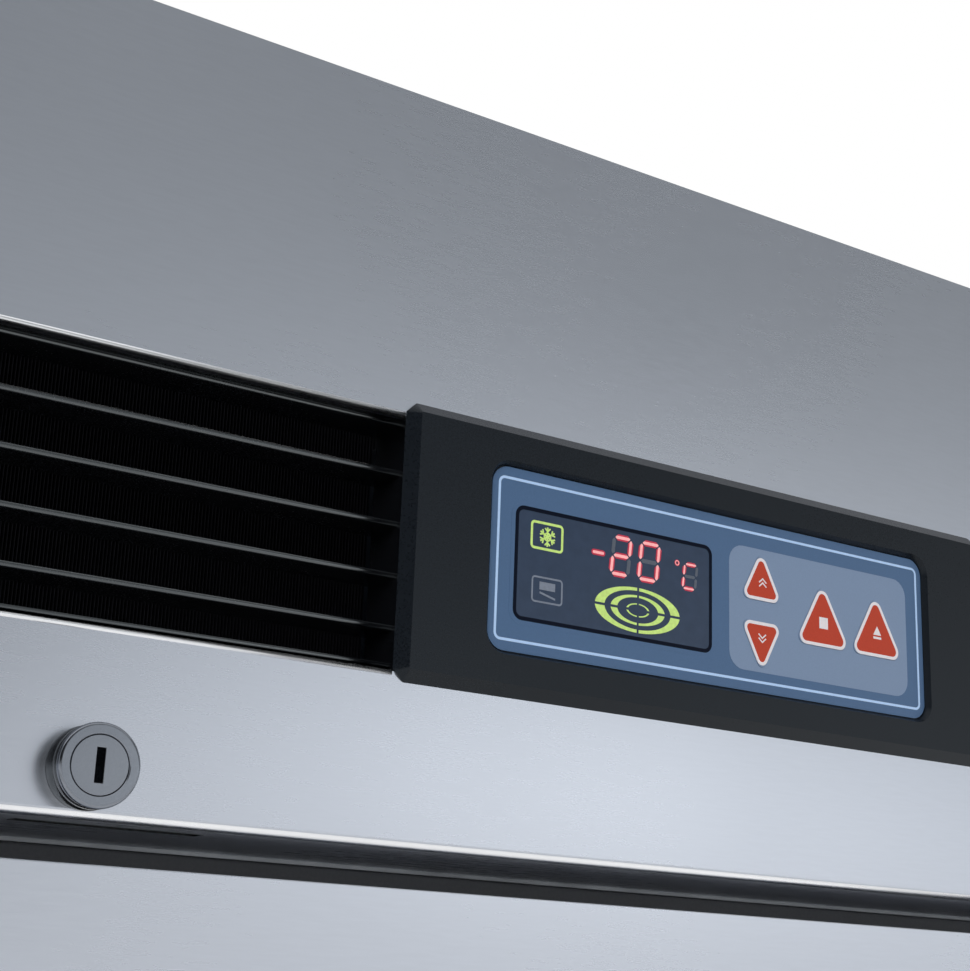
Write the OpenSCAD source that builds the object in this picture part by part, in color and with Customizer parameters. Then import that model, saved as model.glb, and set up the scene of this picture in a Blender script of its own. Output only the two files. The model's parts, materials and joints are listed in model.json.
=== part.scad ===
// Upright laboratory freezer: one hinged door, machine compartment on top,
// louvred stainless fascia with a control panel and a cam lock, on four casters.
// Millimetres, +Z up, front towards -Y, origin on the floor under the middle of the cabinet.

/* [Cabinet] */
// Width over the side panels
cab_w = 724; // [660:1:800]
// Depth from the front of the fascia to the back panel
body_d = 810; // [740:1:900]
// Height from the floor to the top of the fascia
cab_h = 2108; // [1950:1:2200]
// Thickness of the insulated walls
wall_t = 60; // [50:1:75]
// Thickness of the stainless sheet
sheet_t = 1.2; // [0.8:0.1:1.5]
// Thickness of the inner liner
liner_t = 1.5; // [1:0.1:2.5]
// Thickness of the plastic frame that the gasket closes on
breaker_t = 10; // [6:1:16]
// Height of the steel base frame
base_h = 32; // [28:1:45]
// Width of a rail of the base frame
rail_w = 42; // [36:1:60]
// Wall of the base frame's channel
rail_t = 3; // [2:0.5:4]
// Distance of the base frame behind the cabinet's sides and front
base_inset = 20; // [10:1:30]

/* [Fascia] */
// Height of the control fascia
fascia_h = 236.6; // [225:0.1:260]
// Gap between the fascia and the top of the door
door_gap = 11; // [10:0.5:14]
// Depth of the lip along the fascia's top
top_lip = 20; // [12:1:30]
// Length of the bottom flange that lies on the machine deck
deck_lap = 18; // [10:1:30]
// Outer radius of the fascia's bottom bend
bend_r = 2.6; // [2:0.1:2.8]
// Height of the louvre opening
louvre_h = 78; // [70:0.5:82]
// Height of the louvre opening's lower edge above the fascia's bottom
louvre_z = 50.1; // [48:0.1:58]
// Distance of the louvre opening from each side of the cabinet
louvre_margin = 40; // [30:1:60]
// Depth of the lip that is folded in around the louvre opening
louvre_lip = 4; // [2:0.5:6]

/* [Louvres] */
// Number of blades in a louvre
blade_n = 5; // [3:1:5]
// Distance between two blades
blade_pitch = 16; // [15.8:0.1:17]
// Height of the lowest blade above the louvre opening's lower edge
blade_first = 14.8; // [10:0.1:15]
// Thickness of a blade
blade_t = 1.6; // [1.2:0.1:2.4]
// Depth of the blades' front edges behind the fascia's front
blade_set = 9; // [7:0.5:14]
// Depth of a blade from front to back
blade_d = 16; // [10:0.5:22]
// Wall of the louvre moulding
louvre_wall = 2.5; // [2:0.1:4]

/* [Control panel] */
// Width of the bezel at its face
bezel_w = 240.8; // [236:0.1:250]
// Height of the bezel at its face
bezel_h = 78.6; // [78:0.1:82]
// Height of the bezel's middle above the fascia's bottom
bezel_z = 90.1; // [88:0.1:92]
// How far the bezel stands out of the fascia
bezel_proud = 3.6; // [3.2:0.1:5]
// Width of the bezel's chamfer
bezel_chamfer = 3.6; // [2:0.1:5]
// Width of the overlay label
overlay_w = 186; // [182:0.5:200]
// Height of the overlay label
overlay_h = 58; // [52:0.5:62]
// Corner radius of the overlay label
overlay_r = 6; // [3:0.5:9]
// Thickness of the overlay label
overlay_t = 0.5; // [0.3:0.1:0.8]
// Depth of the recess in the bezel's face
recess_d = 2; // [1.5:0.1:2.4]
// Extra width of the recess at the bezel's face, on each side
recess_draft = 1.2; // [0.5:0.1:2]
// Width of the display window
window_w = 78.2; // [70:0.1:80]
// Height of the display window
window_h = 35.8; // [30:0.1:38]
// Place of the display window's middle, from the panel's middle
window_x = -44.9; // [-46:0.1:-42]
// Place of the display window's middle above the panel's middle
window_z = -0.8; // [-3:0.1:3]
// Corner radius of the display window
window_r = 3; // [2:0.1:6]
// Width of a small key
small_key_w = 15.8; // [12:0.1:17]
// Height of a small key
small_key_h = 15.3; // [12:0.1:16]
// Width of a large key
large_key_w = 22; // [16:0.1:23]
// Height of a large key
large_key_h = 20.2; // [16:0.1:22]
// Corner radius of a small key
small_key_r = 2; // [1.6:0.1:2.6]
// Corner radius of a large key
large_key_r = 2.4; // [1.6:0.1:3]
// Place of the two small keys to the right of the panel's middle
small_key_x = 16.2; // [14:0.1:18]
// Place of the square-marked key to the right of the panel's middle
square_key_x = 44.1; // [42:0.1:44.4]
// Place of the bar-marked key to the right of the panel's middle
bar_key_x = 69.6; // [69:0.1:72]
// Foot of the upward small key above the panel's middle
up_key_z = 2.4; // [2:0.1:5]
// Top of the downward small key below the panel's middle
down_key_z = 5; // [3:0.1:6]
// Foot of the large keys below the panel's middle
large_key_z = 9.5; // [8:0.1:11]
// How far a key stands out of the overlay
key_proud = 0.3; // [0.2:0.1:0.6]
// Travel of a key
key_travel = 0.6; // [0.4:0.1:0.8]
// Depth of the control housing behind the fascia's front
housing_d = 34; // [30:1:50]
// Wall of the control housing
housing_t = 2; // [1.5:0.1:3]
// Thickness of the control board
board_t = 1.6; // [1.2:0.1:2.4]

/* [Lock] */
// Distance of the lock from the middle of the cabinet
lock_x = -212.6; // [-240:0.1:-200]
// Height of the lock above the fascia's bottom
lock_z = 13; // [12.9:0.1:15]
// Diameter of the lock's head
lock_head = 22; // [21:0.1:24]
// How far the lock's head stands out of the fascia
lock_proud = 9.5; // [6:0.1:12]
// Diameter of the lock's barrel
lock_barrel = 18.5; // [18:0.1:18.8]
// Diameter of the lock's plug
lock_plug_d = 15.4; // [14:0.1:16]
// Width across the lock's nut
lock_nut_w = 23; // [22:0.1:23.2]
// Thickness of the lock's nut
lock_nut_t = 4; // [3:0.1:5]
// Length of the cam from the lock's axis
cam_l = 38; // [32:0.5:40]
// Width of the cam
cam_w = 20; // [14:0.5:22]
// Thickness of the cam
cam_t = 3; // [2:0.1:4]
// Depth of the cam's middle behind the fascia's front
cam_y = 15.1; // [14.5:0.1:17]
// Width of the cam's slot, front to back
slot_d = 6.4; // [5.5:0.1:8]
// Depth of the strike in the door's top
strike_d = 20; // [18:0.5:30]
// Wall of the strike
strike_t = 2; // [1:0.1:3]

/* [Door] */
// Thickness of the door
door_t = 58; // [50:1:70]
// Gap between the door's back and the cabinet's face
seal_gap = 12; // [11:0.5:16]
// Height of the door's lower edge above the base frame's underside
door_lift = 16; // [12:1:20]
// Gap between the door's edge and the line of the side panels
door_inset = 1; // [0.5:0.1:3]
// Distance of the hinge axis from the door's edge
hinge_in = 15; // [14:0.5:20]
// Distance of the hinge axis from the door's back
hinge_back = 20; // [18:0.5:28]
// Radius of the hinge pins
hinge_pin_r = 6; // [5:0.5:7]
// Length of a hinge pin inside the door
hinge_pin_l = 22; // [16:1:30]
// Outer radius of the hinge bushes
bush_r = 9; // [8.5:0.5:11]
// Thickness of the hinge brackets
hinge_plate_t = 4; // [3:0.5:5]
// Width of the hinge brackets
hinge_plate_w = 30; // [26:1:32]
// Width of the gasket
gasket_w = 22; // [16:1:24]
// Distance of the gasket from the cabinet's opening
gasket_in = 8; // [4:1:10]
// Height of the raised panel on the door's back
dyke_h = 9; // [5:0.5:10]
// Height of the handle's middle above the floor
handle_z = 1080; // [800:5:1300]
// Height of the handle pocket
handle_h = 170; // [120:5:220]
// Width of the handle pocket
handle_w = 46; // [40:1:60]
// Depth of the handle pocket
handle_d = 34; // [25:1:38]
// Distance of the handle pocket's middle from the door's edge
handle_in = 46; // [40:1:70]
// Wall of the handle pocket
handle_t = 2.5; // [2:0.1:4]

/* [Interior] */
// Number of wire shelves
shelf_n = 3; // [1:1:4]
// Height of the lowest shelf above the cabinet's floor
shelf_first = 300; // [200:10:400]
// Distance between two shelves
shelf_pitch = 350; // [250:10:360]
// Radius of a shelf's frame wire
frame_wire_r = 4; // [3:0.5:5]
// Radius of a shelf's cross wires
cross_wire_r = 2; // [1.5:0.1:2.5]
// Distance between the cross wires
cross_pitch = 30; // [24:1:50]
// Gap between a shelf and the liner's sides
shelf_gap = 18; // [16:1:25]
// Width of a pilaster
pilaster_w = 22; // [18:1:30]
// Depth of a pilaster into the cabinet
pilaster_d = 12; // [10:0.5:15]
// Distance of the pilasters from the front and the back of the liner
pilaster_in = 70; // [50:5:120]
// Distance between the slots of a pilaster
slot_pitch = 50; // [25:5:50]
// Height of the evaporator unit below the liner's ceiling
evap_h = 150; // [140:1:180]
// Depth of the evaporator unit
evap_d = 330; // [300:5:380]
// Gap between the evaporator unit and the liner's sides
evap_side = 32; // [20:1:60]
// Radius of the evaporator fan
evap_fan_r = 56; // [45:1:60]

/* [Machine compartment] */
// Width of the condenser
cond_w = 300; // [240:5:320]
// Height of the condenser
cond_h = 190; // [170:5:200]
// Depth of the condenser
cond_d = 44; // [30:1:60]
// Place of the condenser's middle from the middle of the cabinet
cond_x = -170; // [-180:1:-150]
// Radius of the condenser fan
cond_fan_r = 82; // [60:1:82]
// Radius of the compressor's shell
comp_r = 78; // [65:1:85]
// Height of the compressor's shell
comp_h = 185; // [160:1:200]
// Place of the compressor's middle from the middle of the cabinet
comp_x = 170; // [140:1:200]
// Diameter of the suction line
suction_d = 10; // [8:0.5:13]
// Diameter of the liquid line
liquid_d = 6; // [5:0.5:8]

/* [Casters] */
// Height from the floor to the base frame
caster_h = 127; // [120:1:140]
// Diameter of a wheel
wheel_d = 100; // [90:1:102]
// Width of a wheel
wheel_w = 32; // [24:1:36]
// Offset of the wheel behind the swivel
caster_trail = 34; // [28:1:38]
// Side of the caster's top plate
caster_plate = 84; // [80:1:95]
// Distance of a caster's middle from the cabinet's side
caster_in_x = 82; // [80:1:110]
// Distance of a caster's middle from the base frame's front and back
caster_in_y = 66; // [60:1:90]
// Swing of a brake pedal
pedal_swing = 15; // [8:1:18]

/* [Probe port] */
// Radius of the probe port's bore
port_r = 12.5; // [8:0.5:15]
// Wall of the probe port's sleeve
port_t = 3; // [2:0.5:5]
// Height of the probe port above the floor
port_z = 1500; // [1300:10:1600]
// Place of the probe port behind the middle of the cabinet
port_y = 60; // [0:5:120]

/* [Hidden] */
$fn = 64;

// Clearances
seat = 0.3;         // gap between a piece and the seat that carries it
run_gap = 0.05;     // radial clearance of a shaft in its bore
edge = 0.5;         // how far a cut runs past the faces that it goes through
wire_fn = 8;        // sides of thin wires and tubes

// Places of the cabinet's main planes
side_x = cab_w / 2;
front_y = (lock_proud - body_d) / 2;
back_y = front_y + body_d;
box_y = front_y + door_t + seal_gap;
fascia_z = cab_h - fascia_h;
box_z = caster_h + base_h;
in_x = side_x - wall_t;
in_back = back_y - wall_t;
in_floor = box_z + wall_t;
in_top = fascia_z - wall_t;
foam_x = side_x - sheet_t;

// Door
door_z0 = caster_h + door_lift;
door_z1 = fascia_z - door_gap;
door_x = side_x - door_inset;
door_back = front_y + door_t;
hinge_x = door_x - hinge_in;
hinge_y = door_back - hinge_back;
handle_x = -door_x + handle_in;
gasket_in_x = in_x + gasket_in;

// Fascia and panel
louvre_x = side_x - louvre_margin;
louvre_bottom = fascia_z + louvre_z;
panel_z = fascia_z + bezel_z;
panel_y = -bezel_proud + recess_d;
lock_place = [lock_x, front_y, fascia_z + lock_z];
key_gap = 0.3;      // gap between a key and the overlay around it
key_lip = 1;        // width of the lip that holds a key behind the bezel
key_lip_t = 0.8;    // thickness of that lip
key_back = 1.1;     // depth of a key's back behind the fascia's front
board_y = 8;        // depth of the control board behind the fascia's front
button_w = 6;       // side of a tact switch on the board
digit_block_w = 62; // width of the lamp block behind the display window
digit_block_h = 30; // height of the lamp block
housing_w = bezel_w - 8;
housing_h = louvre_h - 4;
louvre_end = bezel_w / 2 - 3;
slot_left = cam_w / 2 + 3.5;    // reach of the cam's slot from the lock's axis, to the left
slot_right = cam_l + 1.3;       // and to the right

// Machine compartment
deck = fascia_z;
cond_y = box_y + 45;             // front of the condenser
shroud_box = 34;                // depth of the shroud's box
fan_y = cond_y + cond_d + shroud_box;
comp_y = 60;                    // place of the compressor behind the cabinet's middle

// Casters
base_x = side_x - base_inset;
base_y0 = box_y + base_inset;
base_y1 = back_y - base_inset;
caster_x = side_x - caster_in_x;
caster_y0 = base_y0 + caster_in_y;
caster_y1 = base_y1 - caster_in_y;
axle_z = wheel_d / 2;
axle_r = 6;
kingpin_r = 6;
plate_t = 4;                    // thickness of a caster's top plate
race_h = 9;                     // height of the swivel race
crown_t = 4;                    // thickness of the fork's crown
crown_z = caster_h - plate_t - race_h;
leg_x = wheel_w / 2 + 2;        // inner face of a fork leg from the wheel's middle
leg_t = 3;                      // thickness of a fork leg
pedal_y = caster_trail + 34;    // axis of the brake pedal behind the swivel
pedal_z = crown_z - crown_t - 6;
pedal_pin_r = 3;

// Evaporator unit
evap_w = 2 * (in_x - evap_side);
evap_back_gap = 20;             // gap behind the evaporator unit
evap_front = in_back - evap_d - evap_back_gap;
evap_floor = in_top - evap_h;
evap_t = 1.5;
evap_fan_z = in_top - evap_h / 2;
evap_fan_y = evap_front + 22;

// A block between two corners
module block(a, b) {
    translate(a) cube(b - a);
}

// A flat outline in X and Z, from depth y behind the fascia's front, t thick
module plate_at(y, t) {
    translate([0, front_y + y + t, 0]) rotate([90, 0, 0]) linear_extrude(t) children();
}

// A rectangle with round corners about the origin
module round_rect(w, h, r) {
    square([w - 2 * r, h], center = true);
    square([w, h - 2 * r], center = true);
    for (x = [-1, 1], z = [-1, 1]) translate([x * (w / 2 - r), z * (h / 2 - r)]) circle(r);
}

// A block t thick whose outline, w by h with corners of radius r, grows by g from z = 0 to z = t
module drafted(w, h, r, g, t) {
    rotate([90, 0, 90]) translate([0, 0, -w / 2 + r]) linear_extrude(w - 2 * r)
        polygon([[-h / 2, 0], [h / 2, 0], [h / 2 + g, t], [-h / 2 - g, t]]);
    translate([0, h / 2 - r, 0]) rotate([90, 0, 0]) linear_extrude(h - 2 * r)
        polygon([[-w / 2, 0], [w / 2, 0], [w / 2 + g, t], [-w / 2 - g, t]]);
    for (x = [-1, 1], y = [-1, 1]) translate([x * (w / 2 - r), y * (h / 2 - r), 0])
        cylinder(r1 = r, r2 = r + g, h = t);
}

// Middles of the corner arcs of a triangle of width w and height h that stands on its foot
function triangle_centres(w, h, r) = [[r - w / 2, r], [w / 2 - r, r], [0, h - r]];

function outward(a, b) = let (d = b - a) [d[1], -d[0]] / norm(d);

// Points of a corner arc of radius r about c, from the direction m to the direction n
arc_steps = 10;
function corner_arc(c, m, n, r) =
    let (a = atan2(m[1], m[0]), turn = (atan2(n[1], n[0]) - a + 360) % 360)
    [for (i = [0:arc_steps]) c + r * [cos(a + turn * i / arc_steps), sin(a + turn * i / arc_steps)]];

// A triangle with round corners, w wide and h high, its foot on the X axis, grown by g
module round_triangle(w, h, r, g = 0) {
    c = triangle_centres(w, h, r);
    polygon([for (i = [0:2]) let (before = c[(i + 2) % 3], after = c[(i + 1) % 3])
             each corner_arc(c[i], outward(before, c[i]), outward(c[i], after), r + g)]);
}

// Cylinders along X, Y and Z
module rod_x(r, l) { rotate([0, 90, 0]) cylinder(r = r, h = l); }
module rod_y(r, l) { rotate([-90, 0, 0]) cylinder(r = r, h = l); }
module tube_z(r_out, r_in, l) {
    difference() {
        cylinder(r = r_out, h = l);
        translate([0, 0, -edge]) cylinder(r = r_in, h = l + 2 * edge);
    }
}

// Insulated cabinet

// The hole for the probe port through the left wall
module port_hole(r) {
    translate([-side_x - edge, port_y, port_z]) rod_x(r, wall_t + 2 * edge);
}

// The hole for the two refrigerant lines through the roof
line_in = 60;       // distance of the hole from the evaporator's side and the liner's back
line_x = evap_w / 2 - line_in;
line_y = in_back - line_in;
line_r = suction_d / 2 + liquid_d / 2 + 8;
module line_hole() {
    translate([line_x, line_y, in_top - 2 * liner_t]) cylinder(r = line_r, h = wall_t + 4 * liner_t);
}

// One side panel: a flat sheet with a narrow flange along its top
side_flange = 15;
module side_panel(s) {
    x0 = s * side_x;
    x1 = s * foam_x;
    x2 = s * (side_x - side_flange);
    block([min(x0, x1), box_y, box_z], [max(x0, x1), back_y - sheet_t, cab_h]);
    block([min(x0, x2), box_y, cab_h - sheet_t], [max(x0, x2), back_y - sheet_t, cab_h]);
}

module side_panel_left() {
    color("silver") difference() {
        side_panel(-1);
        port_hole(port_r + port_t + seat);
    }
}

module side_panel_right() {
    color("silver") side_panel(1);
}

module back_panel() {
    color("lightgray") block([-side_x, back_y - sheet_t, box_z], [side_x, back_y, fascia_z]);
}

module bottom_panel() {
    color("lightgray") block([-foam_x, box_y, box_z], [foam_x, back_y - sheet_t, box_z + sheet_t]);
}

module deck_plate() {
    color("lightgray") difference() {
        block([-foam_x, box_y, fascia_z - sheet_t], [foam_x, back_y - sheet_t, fascia_z]);
        line_hole();
    }
}

// Foam in five boards: floor, roof, back and two sides
foam_seam = 0.2;    // gap between two boards
module insulation() {
    y0 = box_y + breaker_t;
    y1 = back_y - sheet_t;
    z0 = in_floor - liner_t;
    z1 = in_top + liner_t;
    x0 = in_x + liner_t;
    color("khaki") difference() {
        union() {
            block([-foam_x, y0, box_z + sheet_t], [foam_x, y1, z0]);
            block([-foam_x, y0, z1], [foam_x, y1, fascia_z - sheet_t]);
            block([-x0, in_back + liner_t, z0 + foam_seam], [x0, y1, z1 - foam_seam]);
            for (x = [-foam_x, x0 + foam_seam])
                block([x, y0, z0 + foam_seam], [x + foam_x - x0 - foam_seam, y1, z1 - foam_seam]);
        }
        port_hole(port_r + port_t + seat);
        line_hole();
    }
}

module liner() {
    color("white") difference() {
        block([-in_x - liner_t, box_y, in_floor - liner_t],
              [in_x + liner_t, in_back + liner_t, in_top + liner_t]);
        block([-in_x, box_y - edge, in_floor], [in_x, in_back, in_top]);
        port_hole(port_r + port_t + seat);
        line_hole();
    }
}

module breaker_frame() {
    color("dimgray") difference() {
        block([-foam_x, box_y, box_z + sheet_t], [foam_x, box_y + breaker_t, fascia_z - sheet_t]);
        block([-in_x - liner_t, box_y - edge, in_floor - liner_t],
              [in_x + liner_t, box_y + breaker_t + edge, in_top + liner_t]);
    }
}

// Channel rails with a gusset in each corner for the caster's plate
gusset = 110;
module base_frame() {
    color("dimgray") {
        difference() {
            block([-base_x, base_y0, caster_h], [base_x, base_y1, box_z]);
            block([-base_x + rail_w, base_y0 + rail_w, caster_h - edge],
                  [base_x - rail_w, base_y1 - rail_w, box_z + edge]);
            block([-base_x + rail_t, base_y0 + rail_t, caster_h + rail_t],
                  [base_x - rail_t, base_y1 - rail_t, box_z - rail_t]);
        }
        for (x = [-base_x, base_x - gusset], y = [base_y0, base_y1 - gusset])
            block([x, y, caster_h], [x + gusset, y + gusset, caster_h + rail_t]);
    }
}

// Sleeve through the left wall for probes and cables, with a collar on the inside
port_collar_t = 2;
module probe_port() {
    color("white") translate([-side_x, port_y, port_z]) rotate([0, 90, 0]) difference() {
        union() {
            cylinder(r = port_r + port_t, h = wall_t + port_collar_t);
            translate([0, 0, wall_t]) cylinder(r = port_r + 3 * port_t, h = port_collar_t);
        }
        translate([0, 0, -edge]) cylinder(r = port_r, h = wall_t + port_collar_t + 2 * edge);
    }
}

// Two brackets on the cabinet's face with the pins that carry the door
bracket_leg = 3;    // thickness of the leg on the cabinet's face
bracket_gap = 3;    // gap between a bracket and the door's end
gasket_gap = 2;     // gap between a bracket's leg and the gasket
pin_tip = hinge_pin_l - 3;
module hinge_bracket(z_plate, z_leg) {
    x1 = hinge_x + hinge_in - 3;
    x0 = x1 - hinge_plate_w;
    block([x0, box_y - bracket_leg, min(z_plate, z_leg)],
          [x1, box_y, max(z_plate + hinge_plate_t, z_leg)]);
    block([x0, hinge_y - hinge_pin_r - 4, z_plate], [x1, box_y - bracket_leg, z_plate + hinge_plate_t]);
}

module hinge_brackets() {
    top_z = door_z1 + bracket_gap;
    low_z = door_z0 - bracket_gap - hinge_plate_t;
    color("gray") {
        hinge_bracket(top_z, in_top + gasket_in + gasket_w + gasket_gap);
        hinge_bracket(low_z, in_floor - gasket_in - gasket_w - gasket_gap);
        translate([hinge_x, hinge_y, door_z1 - pin_tip]) cylinder(r = hinge_pin_r, h = pin_tip + bracket_gap);
        translate([hinge_x, hinge_y, low_z + hinge_plate_t])
            cylinder(r = hinge_pin_r, h = bracket_gap + pin_tip);
    }
}

// Control fascia

// Section of the fascia in Y and Z: front sheet, bent bottom flange and top lip
module fascia_section() {
    flange_end = box_y + deck_lap - front_y;
    difference() {
        union() {
            square([sheet_t, fascia_h]);
            square([flange_end, sheet_t]);
            translate([0, fascia_h - sheet_t]) square([top_lip, sheet_t]);
        }
        square([bend_r, bend_r]);
    }
    intersection() {
        translate([bend_r, bend_r]) difference() {
            circle(bend_r);
            circle(bend_r - sheet_t);
        }
        square([bend_r, bend_r]);
    }
}

// Outline of the louvre opening in X and Z
module louvre_outline(g = 0) {
    translate([-louvre_x - g, louvre_bottom - g]) square([2 * (louvre_x + g), louvre_h + 2 * g]);
}

module cam_slot(z0, z1) {
    block([lock_x - slot_left, front_y + cam_y - slot_d / 2, z0],
          [lock_x + slot_right, front_y + cam_y + slot_d / 2, z1]);
}

module fascia_panel() {
    color("silver") difference() {
        union() {
            translate([-side_x, front_y, fascia_z]) rotate([90, 0, 90])
                linear_extrude(cab_w) fascia_section();
            for (s = [-1, 1]) {
                x0 = s > 0 ? side_x - sheet_t : -side_x;
                block([x0, front_y + sheet_t / 2, fascia_z + bend_r],
                      [x0 + sheet_t, box_y - seat, cab_h - sheet_t / 2]);
            }
            plate_at(0, louvre_lip) louvre_outline(sheet_t);
        }
        plate_at(-edge, louvre_lip + 2 * edge) louvre_outline();
        cam_slot(fascia_z - edge, fascia_z + sheet_t + edge);
        translate(lock_place - [0, edge, 0]) rod_y(lock_barrel / 2 + seat, sheet_t + 2 * edge);
        for (s = [-1, 1]) {
            x0 = s > 0 ? foam_x - seat : -side_x - edge;
            block([x0, box_y - seat, fascia_z - edge],
                  [x0 + sheet_t + seat + edge, box_y + deck_lap + edge, fascia_z + sheet_t + edge]);
        }
    }
}

// Room for the lip around the louvre opening
module lip_room() {
    plate_at(sheet_t - edge, louvre_lip - sheet_t + edge + seat) difference() {
        louvre_outline(sheet_t + seat);
        louvre_outline(-seat);
    }
}

// One louvre moulding between the bezel and the end of the opening
sill_z = 3.5;       // height of the sill bar's middle above the opening's lower edge
sill_t = 1.2;
module louvre(s) {
    x_end = louvre_x + louvre_wall + sheet_t + seat;
    y0 = sheet_t;
    d = blade_set + blade_d - y0;
    z0 = louvre_bottom - sheet_t - seat;
    z1 = louvre_bottom + louvre_h + sheet_t + seat;
    xs = s > 0 ? louvre_end : -x_end;
    w = x_end - louvre_end;
    difference() {
        block([xs, front_y + y0, z0 - louvre_wall], [xs + w, front_y + y0 + d, z1 + louvre_wall]);
        block([xs + louvre_wall, front_y + y0 - edge, z0],
              [xs + w - louvre_wall, front_y + y0 + d + edge, z1]);
        lip_room();
    }
    blades = [for (i = [0:blade_n - 1]) [blade_first + i * blade_pitch, blade_t]];
    for (b = [each blades, [sill_z, sill_t]])
        block([xs + louvre_wall / 2, front_y + blade_set, louvre_bottom + b[0] - b[1] / 2],
              [xs + w - louvre_wall / 2, front_y + blade_set + blade_d, louvre_bottom + b[0] + b[1] / 2]);
}

module louvre_left() {
    color("black") louvre(-1);
}

module louvre_right() {
    color("black") louvre(1);
}

// The four key outlines, each grown by g
module up_outline(g = 0) {
    translate([small_key_x, panel_z + up_key_z])
        round_triangle(small_key_w, small_key_h, small_key_r, g);
}

module down_outline(g = 0) {
    translate([small_key_x, panel_z - down_key_z]) mirror([0, 1])
        round_triangle(small_key_w, small_key_h, small_key_r, g);
}

module square_outline(g = 0) {
    translate([square_key_x, panel_z - large_key_z])
        round_triangle(large_key_w, large_key_h, large_key_r, g);
}

module bar_outline(g = 0) {
    translate([bar_key_x, panel_z - large_key_z])
        round_triangle(large_key_w, large_key_h, large_key_r, g);
}

module key_outlines(g) {
    up_outline(g);
    down_outline(g);
    square_outline(g);
    bar_outline(g);
}

module window_outline(g = 0) {
    translate([window_x, panel_z + window_z]) round_rect(window_w + 2 * g, window_h + 2 * g, window_r);
}

// Black surround of the control panel, chamfered outside and recessed for the overlay
bezel_corner = 0.6; // corner radius of the bezel's face
corner_cut = 4;     // length of the cut across each outer corner
module bezel_blank() {
    w = bezel_w / 2 + bezel_chamfer + edge;
    h = bezel_h / 2 + bezel_chamfer + edge;
    c = corner_cut + edge;
    intersection() {
        drafted(bezel_w, bezel_h, bezel_corner, bezel_chamfer, bezel_proud);
        translate([0, 0, -edge]) linear_extrude(bezel_proud + 2 * edge)
            polygon([[-w, c - h], [c - w, -h], [w - c, -h], [w, c - h],
                     [w, h - c], [w - c, h], [c - w, h], [-w, h - c]]);
    }
}

module bezel() {
    floor_y = panel_y + overlay_t;
    cut = recess_d + edge;
    color("#23262b") difference() {
        translate([0, front_y - bezel_proud, panel_z]) rotate([-90, 0, 0]) bezel_blank();
        plate_at(-bezel_proud - edge, cut + overlay_t) translate([0, panel_z])
            round_rect(overlay_w + 2 * seat, overlay_h + 2 * seat, overlay_r);
        translate([0, front_y + panel_y, panel_z]) rotate([90, 0, 0])
            drafted(overlay_w + 2 * seat, overlay_h + 2 * seat, overlay_r,
                    recess_draft * cut / recess_d, cut);
        plate_at(floor_y - edge, edge + bezel_proud) {
            window_outline(seat);
            key_outlines(key_gap);
        }
    }
}

// Printed label in the recess, with holes for the window and the keys
module overlay() {
    color("#4a6484") plate_at(panel_y, overlay_t) difference() {
        translate([0, panel_z]) round_rect(overlay_w, overlay_h, overlay_r);
        window_outline(seat);
        key_outlines(key_gap);
    }
}

window_back = 1;    // depth of the window's back behind the fascia's front
module display_window() {
    color("#2b3042") plate_at(panel_y, window_back - panel_y) window_outline();
}

// Board with the lamp block, the four tact switches and a row of driver parts
board_gap = 1;
board_w = housing_w - 2 * housing_t - 2 * board_gap;
board_h = housing_h - 2 * housing_t - 2 * board_gap;
button_tip = key_back + key_travel + 0.3;
switch_t = 3;       // height of a tact switch
plunger_r = 1.8;    // radius of its plunger
driver_w = 8;       // side, height and pitch of the driver parts
driver_d = 3;
driver_pitch = 17.6;
module control_board() {
    buttons = [[small_key_x, up_key_z + small_key_h / 3], [small_key_x, -down_key_z - small_key_h / 3],
               [square_key_x, -large_key_z + large_key_h / 3], [bar_key_x, -large_key_z + large_key_h / 3]];
    color("darkgreen") {
        plate_at(board_y, board_t) translate([0, panel_z])
            square([board_w, board_h], center = true);
        plate_at(window_back + seat, board_y - window_back - seat)
            translate([window_x, panel_z + window_z]) square([digit_block_w, digit_block_h], center = true);
        for (p = buttons) {
            plate_at(board_y - switch_t, switch_t) translate([p[0], panel_z + p[1]])
                square(button_w, center = true);
            plate_at(button_tip, board_y - button_tip) translate([p[0], panel_z + p[1]]) circle(plunger_r);
        }
        for (i = [-4:4]) plate_at(board_y + board_t, driver_d)
            translate([i * driver_pitch, panel_z - board_h / 4]) square(driver_w, center = true);
    }
}

// Tub behind the bezel that holds the board on four posts
post_r = 3;
post_in = 6;        // distance of a post from the board's edges
module control_housing() {
    post_y = board_y + board_t;
    color("#1b1d20") {
        difference() {
            plate_at(seat, housing_d - seat) translate([0, panel_z])
                square([housing_w, housing_h], center = true);
            plate_at(-edge, housing_d - housing_t + edge) translate([0, panel_z])
                square([housing_w - 2 * housing_t, housing_h - 2 * housing_t], center = true);
        }
        for (x = [-1, 1], z = [-1, 1]) plate_at(post_y, housing_d - post_y - housing_t / 2)
            translate([x * (board_w / 2 - post_in), panel_z + z * (board_h / 2 - post_in)]) circle(post_r);
    }
}

module fascia_key() {
    color("#b5452c") {
        plate_at(panel_y - key_proud, key_back - panel_y + key_proud) children(0);
        plate_at(key_back - key_lip_t, key_lip_t) children(1);
    }
}

module key_up() {
    fascia_key() { up_outline(); up_outline(key_lip); }
}

module key_down() {
    fascia_key() { down_outline(); down_outline(key_lip); }
}

module key_square() {
    fascia_key() { square_outline(); square_outline(key_lip); }
}

module key_bar() {
    fascia_key() { bar_outline(); bar_outline(key_lip); }
}

// Cam lock

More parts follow.
